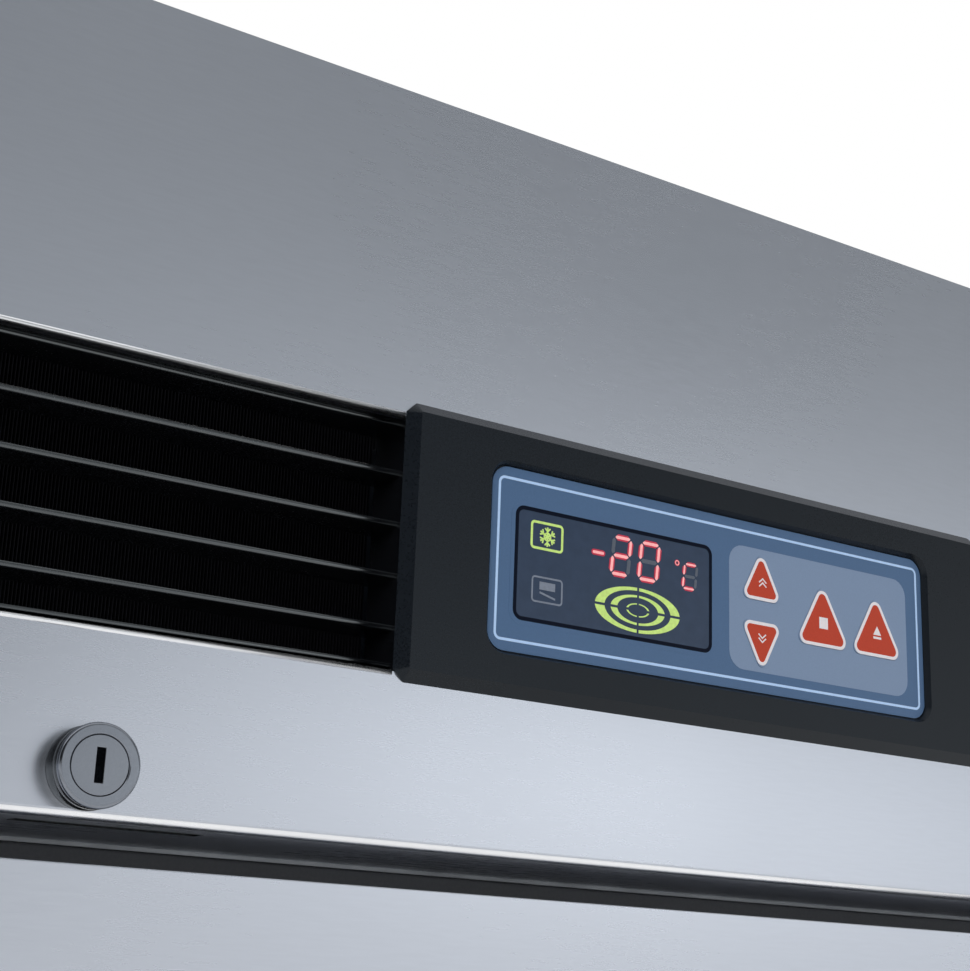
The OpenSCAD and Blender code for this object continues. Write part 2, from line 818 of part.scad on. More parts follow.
barrel_back = cam_y - cam_t / 2 - seat;
module lock_body() {
    color("silver") translate(lock_place) difference() {
        union() {
            translate([0, -lock_proud, 0]) rod_y(lock_head / 2, lock_proud);
            rod_y(lock_barrel / 2, barrel_back);
        }
        translate([0, -lock_proud - edge, 0])
            rod_y(lock_plug_d / 2 + run_gap, lock_proud + barrel_back + 2 * edge);
    }
}

// Nut with a collar that passes the fascia's bottom bend
nut_y = bend_r + 0.2;
collar_r = lock_z - bend_r - 0.1;
module lock_nut() {
    color("gray") translate(lock_place) difference() {
        union() {
            translate([0, sheet_t, 0]) rod_y(collar_r, nut_y + edge - sheet_t);
            translate([0, nut_y, 0]) rotate([-90, 0, 0])
                cylinder(d = lock_nut_w / cos(30), h = lock_nut_t, $fn = 6);
        }
        rod_y(lock_barrel / 2 + seat, nut_y + lock_nut_t + edge);
    }
}

key_slot_w = 2.3;
key_slot_h = 9;
key_slot_d = 16;
drive_w = 8;
plug_set = 0.3;
screw_r = 5;
screw_t = 2.4;
module lock_plug() {
    color("gray") translate(lock_place) {
        difference() {
            translate([0, plug_set - lock_proud, 0])
                rod_y(lock_plug_d / 2, lock_proud - plug_set + cam_y - cam_t / 2);
            translate([-key_slot_w / 2, -lock_proud, -key_slot_h / 2])
                cube([key_slot_w, key_slot_d, key_slot_h]);
        }
        translate([-drive_w / 2, cam_y - cam_t / 2, -drive_w / 2]) cube([drive_w, cam_t, drive_w]);
        translate([0, cam_y + cam_t / 2, 0]) rod_y(screw_r + 1, screw_t);
    }
}

// Cam that turns down through the fascia's slot into the strike
module lock_cam() {
    color("gray") translate(lock_place + [0, cam_y - cam_t / 2, 0]) difference() {
        union() {
            rod_y(cam_w / 2, cam_t);
            translate([0, 0, -cam_w / 2]) cube([cam_l - cam_w / 4, cam_t, cam_w]);
            translate([0, 0, -cam_w / 4]) cube([cam_l, cam_t, cam_w / 2]);
            for (s = [-1, 1]) translate([cam_l - cam_w / 4, 0, s * cam_w / 4]) rod_y(cam_w / 4, cam_t);
        }
        translate([-drive_w / 2 - seat / 2, -edge, -drive_w / 2 - seat / 2])
            cube([drive_w + seat, cam_t + 2 * edge, drive_w + seat]);
    }
}

// Door

module handle_hole(g, d) {
    block([handle_x - handle_w / 2 - g, front_y - edge, handle_z - handle_h / 2 - g],
          [handle_x + handle_w / 2 + g, front_y + d, handle_z + handle_h / 2 + g]);
}

module strike_hole(g) {
    block([lock_x - slot_left - g, front_y + cam_y - slot_d / 2 - g, door_z1 - strike_d - strike_t - g],
          [lock_x + slot_right + g, front_y + cam_y + slot_d / 2 + g, door_z1 + edge]);
}

module bush_holes(r) {
    for (z = [door_z0 - edge, door_z1 - hinge_pin_l])
        translate([hinge_x, hinge_y, z]) cylinder(r = r, h = hinge_pin_l + edge);
}

module door_skin() {
    color("silver") difference() {
        block([-door_x, front_y, door_z0], [door_x, door_back - liner_t, door_z1]);
        block([-door_x + sheet_t, front_y + sheet_t, door_z0 + sheet_t],
              [door_x - sheet_t, door_back + edge, door_z1 - sheet_t]);
        handle_hole(handle_t + seat, handle_d);
        strike_hole(strike_t + seat);
        bush_holes(bush_r + seat);
    }
}

dyke_x = in_x - 6;
dyke_inset = 6;
module door_foam() {
    color("khaki") difference() {
        union() {
            block([-door_x + sheet_t, front_y + sheet_t, door_z0 + sheet_t],
                  [door_x - sheet_t, door_back - liner_t, door_z1 - sheet_t]);
            block([-dyke_x + liner_t, door_back - 2 * liner_t, in_floor + dyke_inset + liner_t],
                  [dyke_x - liner_t, door_back + dyke_h - liner_t, in_top - dyke_inset - liner_t]);
        }
        handle_hole(handle_t + seat, handle_d + handle_t + seat);
        strike_hole(strike_t + seat);
        bush_holes(bush_r + seat);
    }
}

// Inner skin of the door, with a raised panel inside the gasket
module door_liner() {
    color("white") difference() {
        union() {
            block([-door_x, door_back - liner_t, door_z0], [door_x, door_back, door_z1]);
            block([-dyke_x, door_back - liner_t, in_floor + dyke_inset],
                  [dyke_x, door_back + dyke_h, in_top - dyke_inset]);
        }
        block([-dyke_x + liner_t, door_back - 2 * liner_t, in_floor + dyke_inset + liner_t],
              [dyke_x - liner_t, door_back + dyke_h - liner_t, in_top - dyke_inset - liner_t]);
    }
}

// Magnetic gasket: a base strip in the door and a wider sealing head
gasket_head = 0.6;
module gasket_ring(w, y0, y1) {
    mid = gasket_in_x + gasket_w / 2;
    z_out = gasket_in + gasket_w / 2;
    difference() {
        block([-mid - w / 2, y0, in_floor - z_out - w / 2], [mid + w / 2, y1, in_top + z_out + w / 2]);
        block([-mid + w / 2, y0 - edge, in_floor - z_out + w / 2],
              [mid - w / 2, y1 + edge, in_top + z_out - w / 2]);
    }
}

module door_gasket() {
    color("dimgray") {
        gasket_ring(gasket_w * gasket_head, door_back, door_back + seal_gap / 2);
        gasket_ring(gasket_w, door_back + seal_gap / 2, box_y - seat);
    }
}

// Moulded finger pocket with a flange on the door's front
flange_w = 6;
flange_t = 1.5;
module handle_cup() {
    color("#1b1d20") difference() {
        union() {
            block([handle_x - handle_w / 2 - handle_t, front_y, handle_z - handle_h / 2 - handle_t],
                  [handle_x + handle_w / 2 + handle_t, front_y + handle_d + handle_t,
                   handle_z + handle_h / 2 + handle_t]);
            block([handle_x - handle_w / 2 - flange_w, front_y - flange_t,
                   handle_z - handle_h / 2 - flange_w],
                  [handle_x + handle_w / 2 + flange_w, front_y, handle_z + handle_h / 2 + flange_w]);
        }
        block([handle_x - handle_w / 2, front_y - flange_t - edge, handle_z - handle_h / 2],
              [handle_x + handle_w / 2, front_y + handle_d, handle_z + handle_h / 2]);
    }
}

module hinge_bushes() {
    color("white") for (z = [door_z0, door_z1 - hinge_pin_l])
        translate([hinge_x, hinge_y, z]) tube_z(bush_r, hinge_pin_r + run_gap, hinge_pin_l);
}

module lock_strike() {
    color("gray") difference() {
        block([lock_x - slot_left - strike_t, front_y + cam_y - slot_d / 2 - strike_t,
               door_z1 - strike_d - strike_t],
              [lock_x + slot_right + strike_t, front_y + cam_y + slot_d / 2 + strike_t, door_z1]);
        block([lock_x - slot_left, front_y + cam_y - slot_d / 2, door_z1 - strike_d],
              [lock_x + slot_right, front_y + cam_y + slot_d / 2, door_z1 + edge]);
    }
}

// Interior fittings

pilaster_y = [box_y + pilaster_in, in_back - pilaster_in - pilaster_w];
pilaster_z0 = in_floor + 40;
pilaster_z1 = evap_floor - 20;
clip_set = 3;       // wall of a pilaster
slot_w = 8;         // width and height of a pilaster's slots
slot_h = 12;
module pilasters() {
    color("silver") for (s = [-1, 1], y = pilaster_y) difference() {
        block([s > 0 ? in_x - pilaster_d : -in_x, y, pilaster_z0],
              [s > 0 ? in_x : -in_x + pilaster_d, y + pilaster_w, pilaster_z1]);
        block([s > 0 ? in_x - pilaster_d + clip_set : -in_x - edge, y + clip_set, pilaster_z0 - edge],
              [s > 0 ? in_x + edge : -in_x + pilaster_d - clip_set, y + pilaster_w - clip_set,
               pilaster_z1 + edge]);
        for (z = [pilaster_z0 + slot_pitch / 2:slot_pitch:pilaster_z1 - slot_pitch / 2])
            block([s > 0 ? in_x - pilaster_d - edge : -in_x + pilaster_d - clip_set - edge,
                   y + (pilaster_w - slot_w) / 2, z - slot_h / 2],
                  [s > 0 ? in_x - pilaster_d + clip_set + edge : -in_x + pilaster_d + edge,
                   y + (pilaster_w + slot_w) / 2, z + slot_h / 2]);
    }
}

// Height of shelf i at the underside of its frame wire
function shelf_z(i) = in_floor + shelf_first + i * shelf_pitch;

shelf_x = in_x - shelf_gap;
clip_reach = 12;    // how far a clip stands off its pilaster
clip_t = 3;
clip_h = 14;
clip_side = 4;      // distance of a clip from its pilaster's edges
module shelf_clips() {
    color("silver") for (i = [0:shelf_n - 1], s = [-1, 1], y = pilaster_y) {
        x0 = in_x - pilaster_d;
        x1 = x0 - clip_reach;
        z = shelf_z(i);
        block([s > 0 ? x1 : -x0, y + clip_side, z - clip_t],
              [s > 0 ? x0 : -x1, y + pilaster_w - clip_side, z]);
        block([s > 0 ? x0 - clip_t : -x0, y + clip_side, z - clip_h],
              [s > 0 ? x0 : -x0 + clip_t, y + pilaster_w - clip_side, z]);
    }
}

shelf_end_gap = 30; // gap between a shelf and the liner's front and back
shelf_y0 = box_y + shelf_end_gap;
shelf_y1 = in_back - shelf_end_gap;
module wire_shelf() {
    r = frame_wire_r;
    w = 2 * shelf_x;
    d = shelf_y1 - shelf_y0;
    for (x = [-shelf_x + r, shelf_x - r]) translate([x, shelf_y0, 0]) rotate([-90, 0, 0])
        cylinder(r = r, h = d, $fn = wire_fn);
    for (y = [shelf_y0 + r, (shelf_y0 + shelf_y1) / 2, shelf_y1 - r])
        translate([-shelf_x, y, 0]) rotate([0, 90, 0]) cylinder(r = r, h = w, $fn = wire_fn);
    n = floor((w - 4 * r) / cross_pitch);
    pitch = (w - 4 * r) / n;
    for (i = [0:n]) translate([-shelf_x + 2 * r + i * pitch, shelf_y0, r + cross_wire_r * 0.6])
        rotate([-90, 0, 0]) cylinder(r = cross_wire_r, h = d, $fn = wire_fn);
}

module wire_shelves() {
    color("lightgray") for (i = [0:shelf_n - 1]) translate([0, 0, shelf_z(i) + frame_wire_r]) wire_shelf();
}

// A coil: a pack of fins along X, grooved on its front and back, with the ends of its tubes
groove_d = 8;       // depth of a groove
groove_from = 0.3;  // start and end of a groove as shares of the fins' pitch
groove_to = 0.8;
tube_end = 10;      // length of a tube's end outside the fins
module finned_coil(x0, x1, y0, y1, z0, z1, fins, tube_r, rows, columns) {
    pitch = (x1 - x0) / fins;
    difference() {
        block([x0, y0, z0], [x1, y1, z1]);
        for (i = [0:fins - 1]) for (y = [y0 - edge, y1 - groove_d])
            block([x0 + (i + groove_from) * pitch, y, z0 - edge],
                  [x0 + (i + groove_to) * pitch, y + groove_d + edge, z1 + edge]);
    }
    for (j = [0:columns - 1], k = [0:rows - 1], x = [x0 - tube_end, x1])
        translate([x, y0 + (j + 0.5) * (y1 - y0) / columns, z0 + (k + 0.5) * (z1 - z0) / rows])
            rotate([0, 90, 0]) cylinder(r = tube_r, h = tube_end);
}

// Evaporator unit under the ceiling at the back
coil_gap = 12;
coil_d = 160;
coil_set = 95;      // distance of the coil behind the front of its cover
coil_y = evap_front + coil_set;
coil_z0 = evap_floor + 20;
coil_z1 = in_top - 12;
coil_x = evap_w / 2 - evap_t - coil_gap - tube_end;
module evaporator_coil() {
    color("lightgray") {
        finned_coil(-coil_x, coil_x, coil_y, coil_y + coil_d, coil_z0, coil_z1, 30, 4.5, 3, 4);
        for (s = [-1, 1]) block([s * (coil_x - 6) - 2, coil_y + groove_d, coil_z1],
                                [s * (coil_x - 6) + 2, coil_y + coil_d - groove_d, in_top]);
    }
}

// Cover of the evaporator, open at the back, with a round finger guard before the fan
fan_gap = 4;        // gap between a fan's blades and the ring around them
guard_w = 2;        // width of the finger guard's rings and bars
guard_rings = 5;
module evaporator_cover() {
    r = evap_fan_r + fan_gap;
    color("white") {
        difference() {
            block([-evap_w / 2, evap_front, evap_floor], [evap_w / 2, evap_front + evap_d, in_top]);
            block([-evap_w / 2 + evap_t, evap_front + evap_t, evap_floor + evap_t],
                  [evap_w / 2 - evap_t, evap_front + evap_d + edge, in_top + edge]);
            translate([0, evap_front - edge, evap_fan_z]) rod_y(r, evap_t + 2 * edge);
        }
        translate([0, evap_front, evap_fan_z]) {
            for (i = [1:guard_rings - 1]) difference() {
                rod_y(r * i / guard_rings, evap_t);
                translate([0, -edge, 0]) rod_y(r * i / guard_rings - guard_w, evap_t + 2 * edge);
            }
            for (a = [45, 135]) rotate([0, a, 0])
                block([-r - edge, 0, -guard_w / 2], [r + edge, evap_t, guard_w / 2]);
        }
    }
}

hub_r = 16;
hub_l = 20;
hub_cap = 4;        // closed end of the hub
shaft_r = 4;
shaft_out = 14;     // how far a motor's shaft stands out
motor_gap = 2;      // gap between a motor and its fan's hub
motor_r = 26;
motor_l = 38;
foot_half = 14;     // half the width of a motor's foot
foot_end = 6;       // distance of the foot from the motor's ends
blade_count = 5;
fan_blade_t = 2;
blade_angle = 35;
blade_chord = 0.64; // width of a blade as a share of the fan's radius

// Bladed wheel about the Y axis: round hub with a blind shaft bore and flat pitched blades
module fan_wheel(r) {
    difference() {
        rod_y(hub_r, hub_l);
        translate([0, hub_cap, 0]) rod_y(shaft_r + run_gap, hub_l);
    }
    for (i = [0:blade_count - 1]) rotate([0, i * 360 / blade_count, 0])
        intersection() {
            translate([hub_r - fan_blade_t, hub_l / 2, 0]) rotate([blade_angle, 0, 0])
                translate([0, -fan_blade_t / 2, -r * blade_chord / 2])
                cube([r - hub_r + fan_blade_t, fan_blade_t, r * blade_chord]);
            rod_y(r, hub_l);
        }
}

// Motor about the Y axis with its shaft towards the fan and a foot plate below or above it
module fan_motor(foot) {
    rod_y(motor_r, motor_l);
    translate([0, -shaft_out, 0]) rod_y(shaft_r, shaft_out + edge);
    block([-foot_half, foot_end, min(0, foot)], [foot_half, motor_l - foot_end, max(0, foot)]);
}

module evaporator_motor() {
    color("gray") translate([0, evap_fan_y + hub_l + motor_gap, evap_fan_z])
        fan_motor(in_top - evap_fan_z);
}

module evaporator_fan() {
    color("dimgray") translate([0, evap_fan_y, evap_fan_z]) fan_wheel(evap_fan_r);
}

// Machine compartment

// Hermetic compressor: a domed can on two feet with rubber mounts, and stubs for the lines
foot_z = 12;        // height of the rubber mounts
foot_x = 52;        // distance of the mounts from the middle, across
foot_y = 58;        // and along
foot_plate = 15;    // reach of a foot around its mounts
foot_t = 4;
mount_r = 11;
shoulder_r = 34;    // round shoulder of the can
stub_l = 8;         // length of a stub
stub_t = 1;         // wall of a stub
suction_stub = [comp_x - 20, deck + 60];
discharge_stub = [comp_y, deck + 110];
module can(r, h, s) {
    rotate_extrude() intersection() {
        union() {
            square([r - s, h]);
            translate([0, s]) square([r, h - 2 * s]);
            translate([r - s, s]) circle(s);
            translate([r - s, h - s]) circle(s);
        }
        square([r, h]);
    }
}

module compressor() {
    color("#202020") {
        translate([comp_x, comp_y, deck]) {
            translate([0, 0, foot_z]) can(comp_r, comp_h, shoulder_r);
            for (x = [-foot_x, foot_x]) {
                block([x - foot_plate, -foot_y - foot_plate, foot_z],
                      [x + foot_plate, foot_y + foot_plate, foot_z + foot_t]);
                for (y = [-foot_y, foot_y]) translate([x, y, 0]) cylinder(r = mount_r, h = foot_z);
            }
        }
        translate([suction_stub[0], comp_y, suction_stub[1]]) rod_y(suction_d / 2 + stub_t, comp_r + stub_l);
        translate([comp_x - comp_r - stub_l, discharge_stub[0], discharge_stub[1]])
            rod_x(liquid_d / 2 + stub_t, comp_r + stub_l);
    }
}

cond_x0 = cond_x - cond_w / 2;
cond_x1 = cond_x + cond_w / 2;
cond_rows = 7;
cond_foot = 4;      // height and width of the condenser's feet
cond_fins = 24;
cond_tube_r = 4;
cond_z0 = deck + cond_foot;
function cond_row(k) = cond_z0 + (k + 0.5) * cond_h / cond_rows;
module condenser_coil() {
    color("gray") {
        finned_coil(cond_x0, cond_x1, cond_y, cond_y + cond_d, cond_z0, cond_z0 + cond_h,
                    cond_fins, cond_tube_r, cond_rows, 2);
        for (x = [cond_x0, cond_x1 - cond_foot])
            block([x, cond_y + groove_d, deck], [x + cond_foot, cond_y + cond_d - groove_d, cond_z0]);
    }
}

// Box behind the condenser with the ring around the fan
shroud_t = 2;
ring_l = 24;
ring_t = 3;
cond_fan_z = deck + cond_h / 2 + shroud_t;
module condenser_shroud() {
    y0 = cond_y + cond_d + seat;
    y1 = y0 + shroud_box;
    color("dimgray") difference() {
        union() {
            block([cond_x0, y0, deck], [cond_x1, y1, deck + cond_h + shroud_t]);
            translate([cond_x, y1 - edge, cond_fan_z]) rod_y(cond_fan_r + fan_gap + ring_t, ring_l);
        }
        block([cond_x0 + shroud_t, y0 - edge, deck + shroud_t],
              [cond_x1 - shroud_t, y1 - shroud_t, deck + cond_h]);
        translate([cond_x, y0, cond_fan_z]) rod_y(cond_fan_r + fan_gap, shroud_box + ring_l);
    }
}

module condenser_fan() {
    color("dimgray") translate([cond_x, fan_y, cond_fan_z]) fan_wheel(cond_fan_r);
}

module condenser_motor() {
    color("gray") translate([cond_x, fan_y + hub_l + motor_gap, cond_fan_z])
        fan_motor(deck - cond_fan_z);
}

// Box for the starting gear and the terminals, with the socket for the mains lead in its back
ebox = [120, 90, 110];
ebox_side = 30;         // gap to the cabinet's side
ebox_back = 40;         // gap to the rear guard
inlet = [28, 18, 20];   // width, depth and height of the mains socket
inlet_place = [40, 50]; // place of the socket's lower left corner on the box
module electrical_box() {
    x0 = ebox_side - foam_x;
    y1 = back_y - ebox_back;
    x2 = x0 + inlet_place[0];
    z2 = deck + inlet_place[1];
    color("lightgray") difference() {
        block([x0, y1 - ebox[1], deck], [x0 + ebox[0], y1, deck + ebox[2]]);
        block([x2, y1 - inlet[1], z2], [x2 + inlet[0], y1 + edge, z2 + inlet[2]]);
    }
}

// A refrigerant line through a list of points, with a brazed elbow at each bend
elbow_t = 0.5;
module line(points, d) {
    n = len(points) - 1;
    for (i = [0:n - 1]) {
        v = points[i + 1] - points[i];
        translate(points[i]) rotate([0, acos(v[2] / norm(v)), atan2(v[1], v[0])])
            cylinder(d = d, h = norm(v));
    }
    for (i = [1:n - 1]) translate(points[i]) sphere(d = d + 2 * elbow_t);
}

// Suction, discharge and liquid lines, with the drier in the liquid line
drier_r = 14;
drier_l = 110;
liquid_x = 10;          // run of the liquid line along the deck
line_gap = 8;           // gap between the two lines in the roof
module refrigerant_lines() {
    tube_y = cond_y + cond_d / 4;
    coil_end = coil_y + coil_d;
    coil_z = in_top - 40;
    low = cond_row(0);
    bend_x = comp_x - comp_r - stub_l - 30;
    suction_x = line_x - suction_d / 2 - line_gap / 2;
    feed_x = line_x + liquid_d / 2 + line_gap / 2;
    color("#b87333") {
        line([[suction_x, coil_end, coil_z], [suction_x, line_y, coil_z],
              [suction_x, line_y, suction_stub[1]], [suction_stub[0], line_y, suction_stub[1]],
              [suction_stub[0], comp_y + comp_r + stub_l, suction_stub[1]]], suction_d);
        line([[comp_x - comp_r - stub_l, discharge_stub[0], discharge_stub[1]],
              [bend_x, discharge_stub[0], discharge_stub[1]], [bend_x, tube_y, discharge_stub[1]],
              [bend_x, tube_y, cond_row(5)], [cond_x1 + tube_end, tube_y, cond_row(5)]], liquid_d);
        line([[cond_x1 + tube_end, tube_y, low], [liquid_x, tube_y, low], [liquid_x, line_y + 20, low],
              [feed_x, line_y + 20, low], [feed_x, line_y, low], [feed_x, line_y, coil_z],
              [feed_x, coil_end, coil_z]], liquid_d);
        translate([liquid_x, comp_y, low]) rod_y(drier_r, drier_l);
    }
}

// Slotted guard across the back of the machine compartment
guard_columns = 14;
guard_rows = 3;
guard_bar = 0.6;    // share of a column that is metal
guard_rim = 40;     // plain margin at the guard's sides
guard_sill = 25;    // plain strip along its bottom
guard_step = 15;    // plain strip between two rows
module rear_guard() {
    z0 = fascia_z + guard_sill;
    column = 2 * (foam_x - guard_rim) / guard_columns;
    row = (cab_h - side_flange - z0 - guard_step) / guard_rows;
    color("dimgray") difference() {
        block([-side_x, back_y - sheet_t, fascia_z], [side_x, back_y, cab_h - side_flange]);
        for (i = [0:guard_columns - 1], k = [0:guard_rows - 1])
            block([(i - guard_columns / 2 + guard_bar / 2) * column, back_y - sheet_t - edge, z0 + k * row],
                  [(i - guard_columns / 2 + 1 - guard_bar / 2) * column, back_y + edge,
                   z0 + (k + 1) * row - guard_step]);
    }
}

// Casters

// Corner i of the four: side -1 is left, end -1 is the front
module at_caster(side, end) {
    translate([side * caster_x, end < 0 ? caster_y0 : caster_y1, 0]) children();
}

race_r = 24;
kingpin_head = [11, 3];     // radius and thickness of the kingpin's head
module caster_plates() {
    head_z = crown_z - crown_t - seat - kingpin_head[1];
    half = caster_plate / 2;
    color("silver") for (side = [-1, 1], end = [-1, 1]) at_caster(side, end) {
        block([-half, -half, caster_h - plate_t], [half, half, caster_h]);
        translate([0, 0, crown_z + seat]) cylinder(r = race_r, h = race_h - seat);
        translate([0, 0, head_z]) cylinder(r = kingpin_head[0], h = kingpin_head[1]);
        translate([0, 0, head_z]) cylinder(r = kingpin_r, h = crown_z + 2 * seat - head_z);
    }
}

// Fork for a wheel that trails towards +Y, with the axle bolt; ears carry a brake pedal
crown_half = 24;    // half the length of the crown
leg_flare = 10;     // how far the top of a leg reaches past the crown
leg_end_r = 14;     // round lower end of a leg
ear_h = 14;         // height of an ear
ear_reach = 7;      // how far an ear reaches past the pedal's axis
bolt_head = [9, 5]; // radius and thickness of the axle bolt's head and nut
module fork(pedal) {
    out = leg_x + leg_t;
    difference() {
        union() {
            block([-out, -crown_half, crown_z - crown_t], [out, crown_half, crown_z]);
            for (x = [-out, leg_x]) translate([x, 0, 0]) {
                rotate([90, 0, 90]) linear_extrude(leg_t) polygon([
                    [-crown_half, crown_z], [crown_half + leg_flare, crown_z],
                    [caster_trail + leg_end_r, axle_z], [caster_trail - leg_end_r, axle_z]]);
                translate([0, caster_trail, axle_z]) rod_x(leg_end_r, leg_t);
                if (pedal) {
                    block([0, crown_half, crown_z - ear_h], [leg_t, pedal_y + ear_reach, crown_z]);
                    block([0, pedal_y - ear_reach, pedal_z - ear_reach],
                          [leg_t, pedal_y + ear_reach, crown_z]);
                }
            }
        }
        translate([0, 0, crown_z - crown_t - edge]) cylinder(r = kingpin_r + run_gap, h = crown_t + 2 * edge);
        if (pedal) translate([-out - edge, pedal_y, pedal_z]) rod_x(pedal_pin_r + run_gap, 2 * (out + edge));
    }
    translate([-out - bolt_head[1], caster_trail, axle_z]) rod_x(axle_r, 2 * (out + bolt_head[1]));
    for (x = [-out - bolt_head[1], out]) translate([x, caster_trail, axle_z])
        rotate([0, 90, 0]) cylinder(r = bolt_head[0], h = bolt_head[1], $fn = 6);
}

// Wheel with chamfered tread, a recess in each side and a hub on the axle
tread_edge = [3, 4];    // width and depth of the tread's chamfer
wheel_hub_r = 14;
rim_t = 12;             // tread and rim outside the recess
recess_t = 6;           // depth of the recess
module wheel() {
    half = wheel_w / 2;
    translate([0, caster_trail, axle_z]) rotate([0, 90, 0]) difference() {
        union() {
            translate([0, 0, tread_edge[0] - half]) cylinder(d = wheel_d, h = wheel_w - 2 * tread_edge[0]);
            translate([0, 0, -half])
                cylinder(d1 = wheel_d - 2 * tread_edge[1], d2 = wheel_d, h = tread_edge[0]);
            translate([0, 0, half - tread_edge[0]])
                cylinder(d1 = wheel_d, d2 = wheel_d - 2 * tread_edge[1], h = tread_edge[0]);
            translate([0, 0, seat - leg_x]) cylinder(r = wheel_hub_r, h = 2 * (leg_x - seat));
        }
        for (z = [-half - edge, half - recess_t]) translate([0, 0, z]) difference() {
            cylinder(r = wheel_d / 2 - rim_t, h = recess_t + edge);
            translate([0, 0, -edge]) cylinder(r = wheel_hub_r, h = recess_t + 3 * edge);
        }
        translate([0, 0, -leg_x]) cylinder(r = axle_r + run_gap, h = 2 * leg_x);
    }
}

// Brake pedal between the ears, with its pin and the nose that comes down on the tread
nose_r = 3;         // round tip of the nose
nose_rest = 35;     // angle at rest between the nose and the line to the axle
nose_gap = 0.4;     // gap that stays between the pressed nose and the tread
pedal_hub_r = 5;
arm_l = 30;         // length of the pedal's arm
arm_t = 5;
tread_l = 26;       // length of the foot plate
tread_side = 6;     // how far the foot plate is wider than the arm, on each side
module pedal() {
    to_axle = [caster_trail - pedal_y, axle_z - pedal_z];
    pressed = nose_rest - pedal_swing;
    tip_d = wheel_d / 2 + nose_r + nose_gap;
    reach = norm(to_axle) * cos(pressed) - sqrt(pow(tip_d, 2) - pow(norm(to_axle) * sin(pressed), 2));
    w = leg_x - seat;
    translate([0, pedal_y, pedal_z]) {
        translate([-leg_x - leg_t, 0, 0]) rod_x(pedal_pin_r, 2 * (leg_x + leg_t));
        translate([-w, 0, 0]) rod_x(pedal_hub_r, 2 * w);
        rotate([atan2(to_axle[1], to_axle[0]) + nose_rest, 0, 0]) {
            block([-w, 0, -nose_r], [w, reach, nose_r]);
            translate([-w, reach, 0]) rod_x(nose_r, 2 * w);
        }
        block([-w, 0, -arm_t / 2], [w, arm_l, arm_t / 2]);
        block([-w - tread_side, arm_l - edge, -arm_t / 2], [w + tread_side, arm_l + tread_l, arm_t / 2]);
    }
}

// A front caster's pieces trail towards the front
module turned(side, end) {
    at_caster(side, end) rotate([0, 0, end < 0 ? 180 : 0]) children();
}

module fork_front_left() { color("silver") turned(-1, -1) fork(true); }
module fork_front_right() { color("silver") turned(1, -1) fork(true); }
module fork_rear_left() { color("silver") turned(-1, 1) fork(false); }
module fork_rear_right() { color("silver") turned(1, 1) fork(false); }
module wheel_front_left() { color("dimgray") turned(-1, -1) wheel(); }
module wheel_front_right() { color("dimgray") turned(1, -1) wheel(); }
module wheel_rear_left() { color("dimgray") turned(-1, 1) wheel(); }
module wheel_rear_right() { color("dimgray") turned(1, 1) wheel(); }
module pedal_left() { color("darkred") turned(-1, -1) pedal(); }
module pedal_right() { color("darkred") turned(1, -1) pedal(); }

side_panel_left();
side_panel_right();
back_panel();
bottom_panel();
deck_plate();
insulation();
liner();
breaker_frame();
base_frame();
probe_port();
hinge_brackets();
fascia_panel();
louvre_left();
louvre_right();
bezel();
overlay();
display_window();
control_board();
control_housing();
lock_body();
lock_nut();
compressor();
condenser_coil();
condenser_shroud();
condenser_motor();
electrical_box();
refrigerant_lines();
rear_guard();
pilasters();
shelf_clips();
wire_shelves();
evaporator_coil();
evaporator_cover();
evaporator_motor();
caster_plates();
door_skin();
door_foam();
door_liner();
door_gasket();
handle_cup();
hinge_bushes();
lock_strike();
key_up();
key_down();
key_square();
key_bar();
lock_plug();
lock_cam();
condenser_fan();
evaporator_fan();
fork_front_left();
fork_front_right();
fork_rear_left();
fork_rear_right();
wheel_front_left();
wheel_front_right();
wheel_rear_left();
wheel_rear_right();
pedal_left();
pedal_right();
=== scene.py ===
"""Laboratory freezer cabinet: finishes, dressed pieces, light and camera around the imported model."""
import json
import math

import bmesh
import bpy
from mathutils import Matrix, Vector


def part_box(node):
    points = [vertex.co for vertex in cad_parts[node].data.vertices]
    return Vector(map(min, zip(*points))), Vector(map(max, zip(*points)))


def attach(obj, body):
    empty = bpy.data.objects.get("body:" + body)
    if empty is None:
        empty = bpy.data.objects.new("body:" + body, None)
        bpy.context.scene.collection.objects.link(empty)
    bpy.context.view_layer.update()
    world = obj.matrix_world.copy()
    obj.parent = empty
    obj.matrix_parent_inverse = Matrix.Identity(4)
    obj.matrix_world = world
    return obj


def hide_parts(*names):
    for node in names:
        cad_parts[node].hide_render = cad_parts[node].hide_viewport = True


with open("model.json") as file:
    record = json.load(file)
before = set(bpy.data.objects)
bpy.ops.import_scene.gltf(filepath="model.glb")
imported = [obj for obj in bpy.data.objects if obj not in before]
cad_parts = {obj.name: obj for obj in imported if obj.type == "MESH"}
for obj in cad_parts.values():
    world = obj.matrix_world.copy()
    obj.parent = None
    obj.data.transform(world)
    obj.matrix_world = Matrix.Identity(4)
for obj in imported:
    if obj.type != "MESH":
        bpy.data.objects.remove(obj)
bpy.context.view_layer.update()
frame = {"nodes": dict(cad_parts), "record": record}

MM = 0.001
FULL = 2 * math.pi


# Shapes: every helper works in millimetres, in the cabinet's own frame

def span(node):
    """Lowest and highest corner of a CAD node, in millimetres."""
    lo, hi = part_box(node)
    return lo / MM, hi / MM


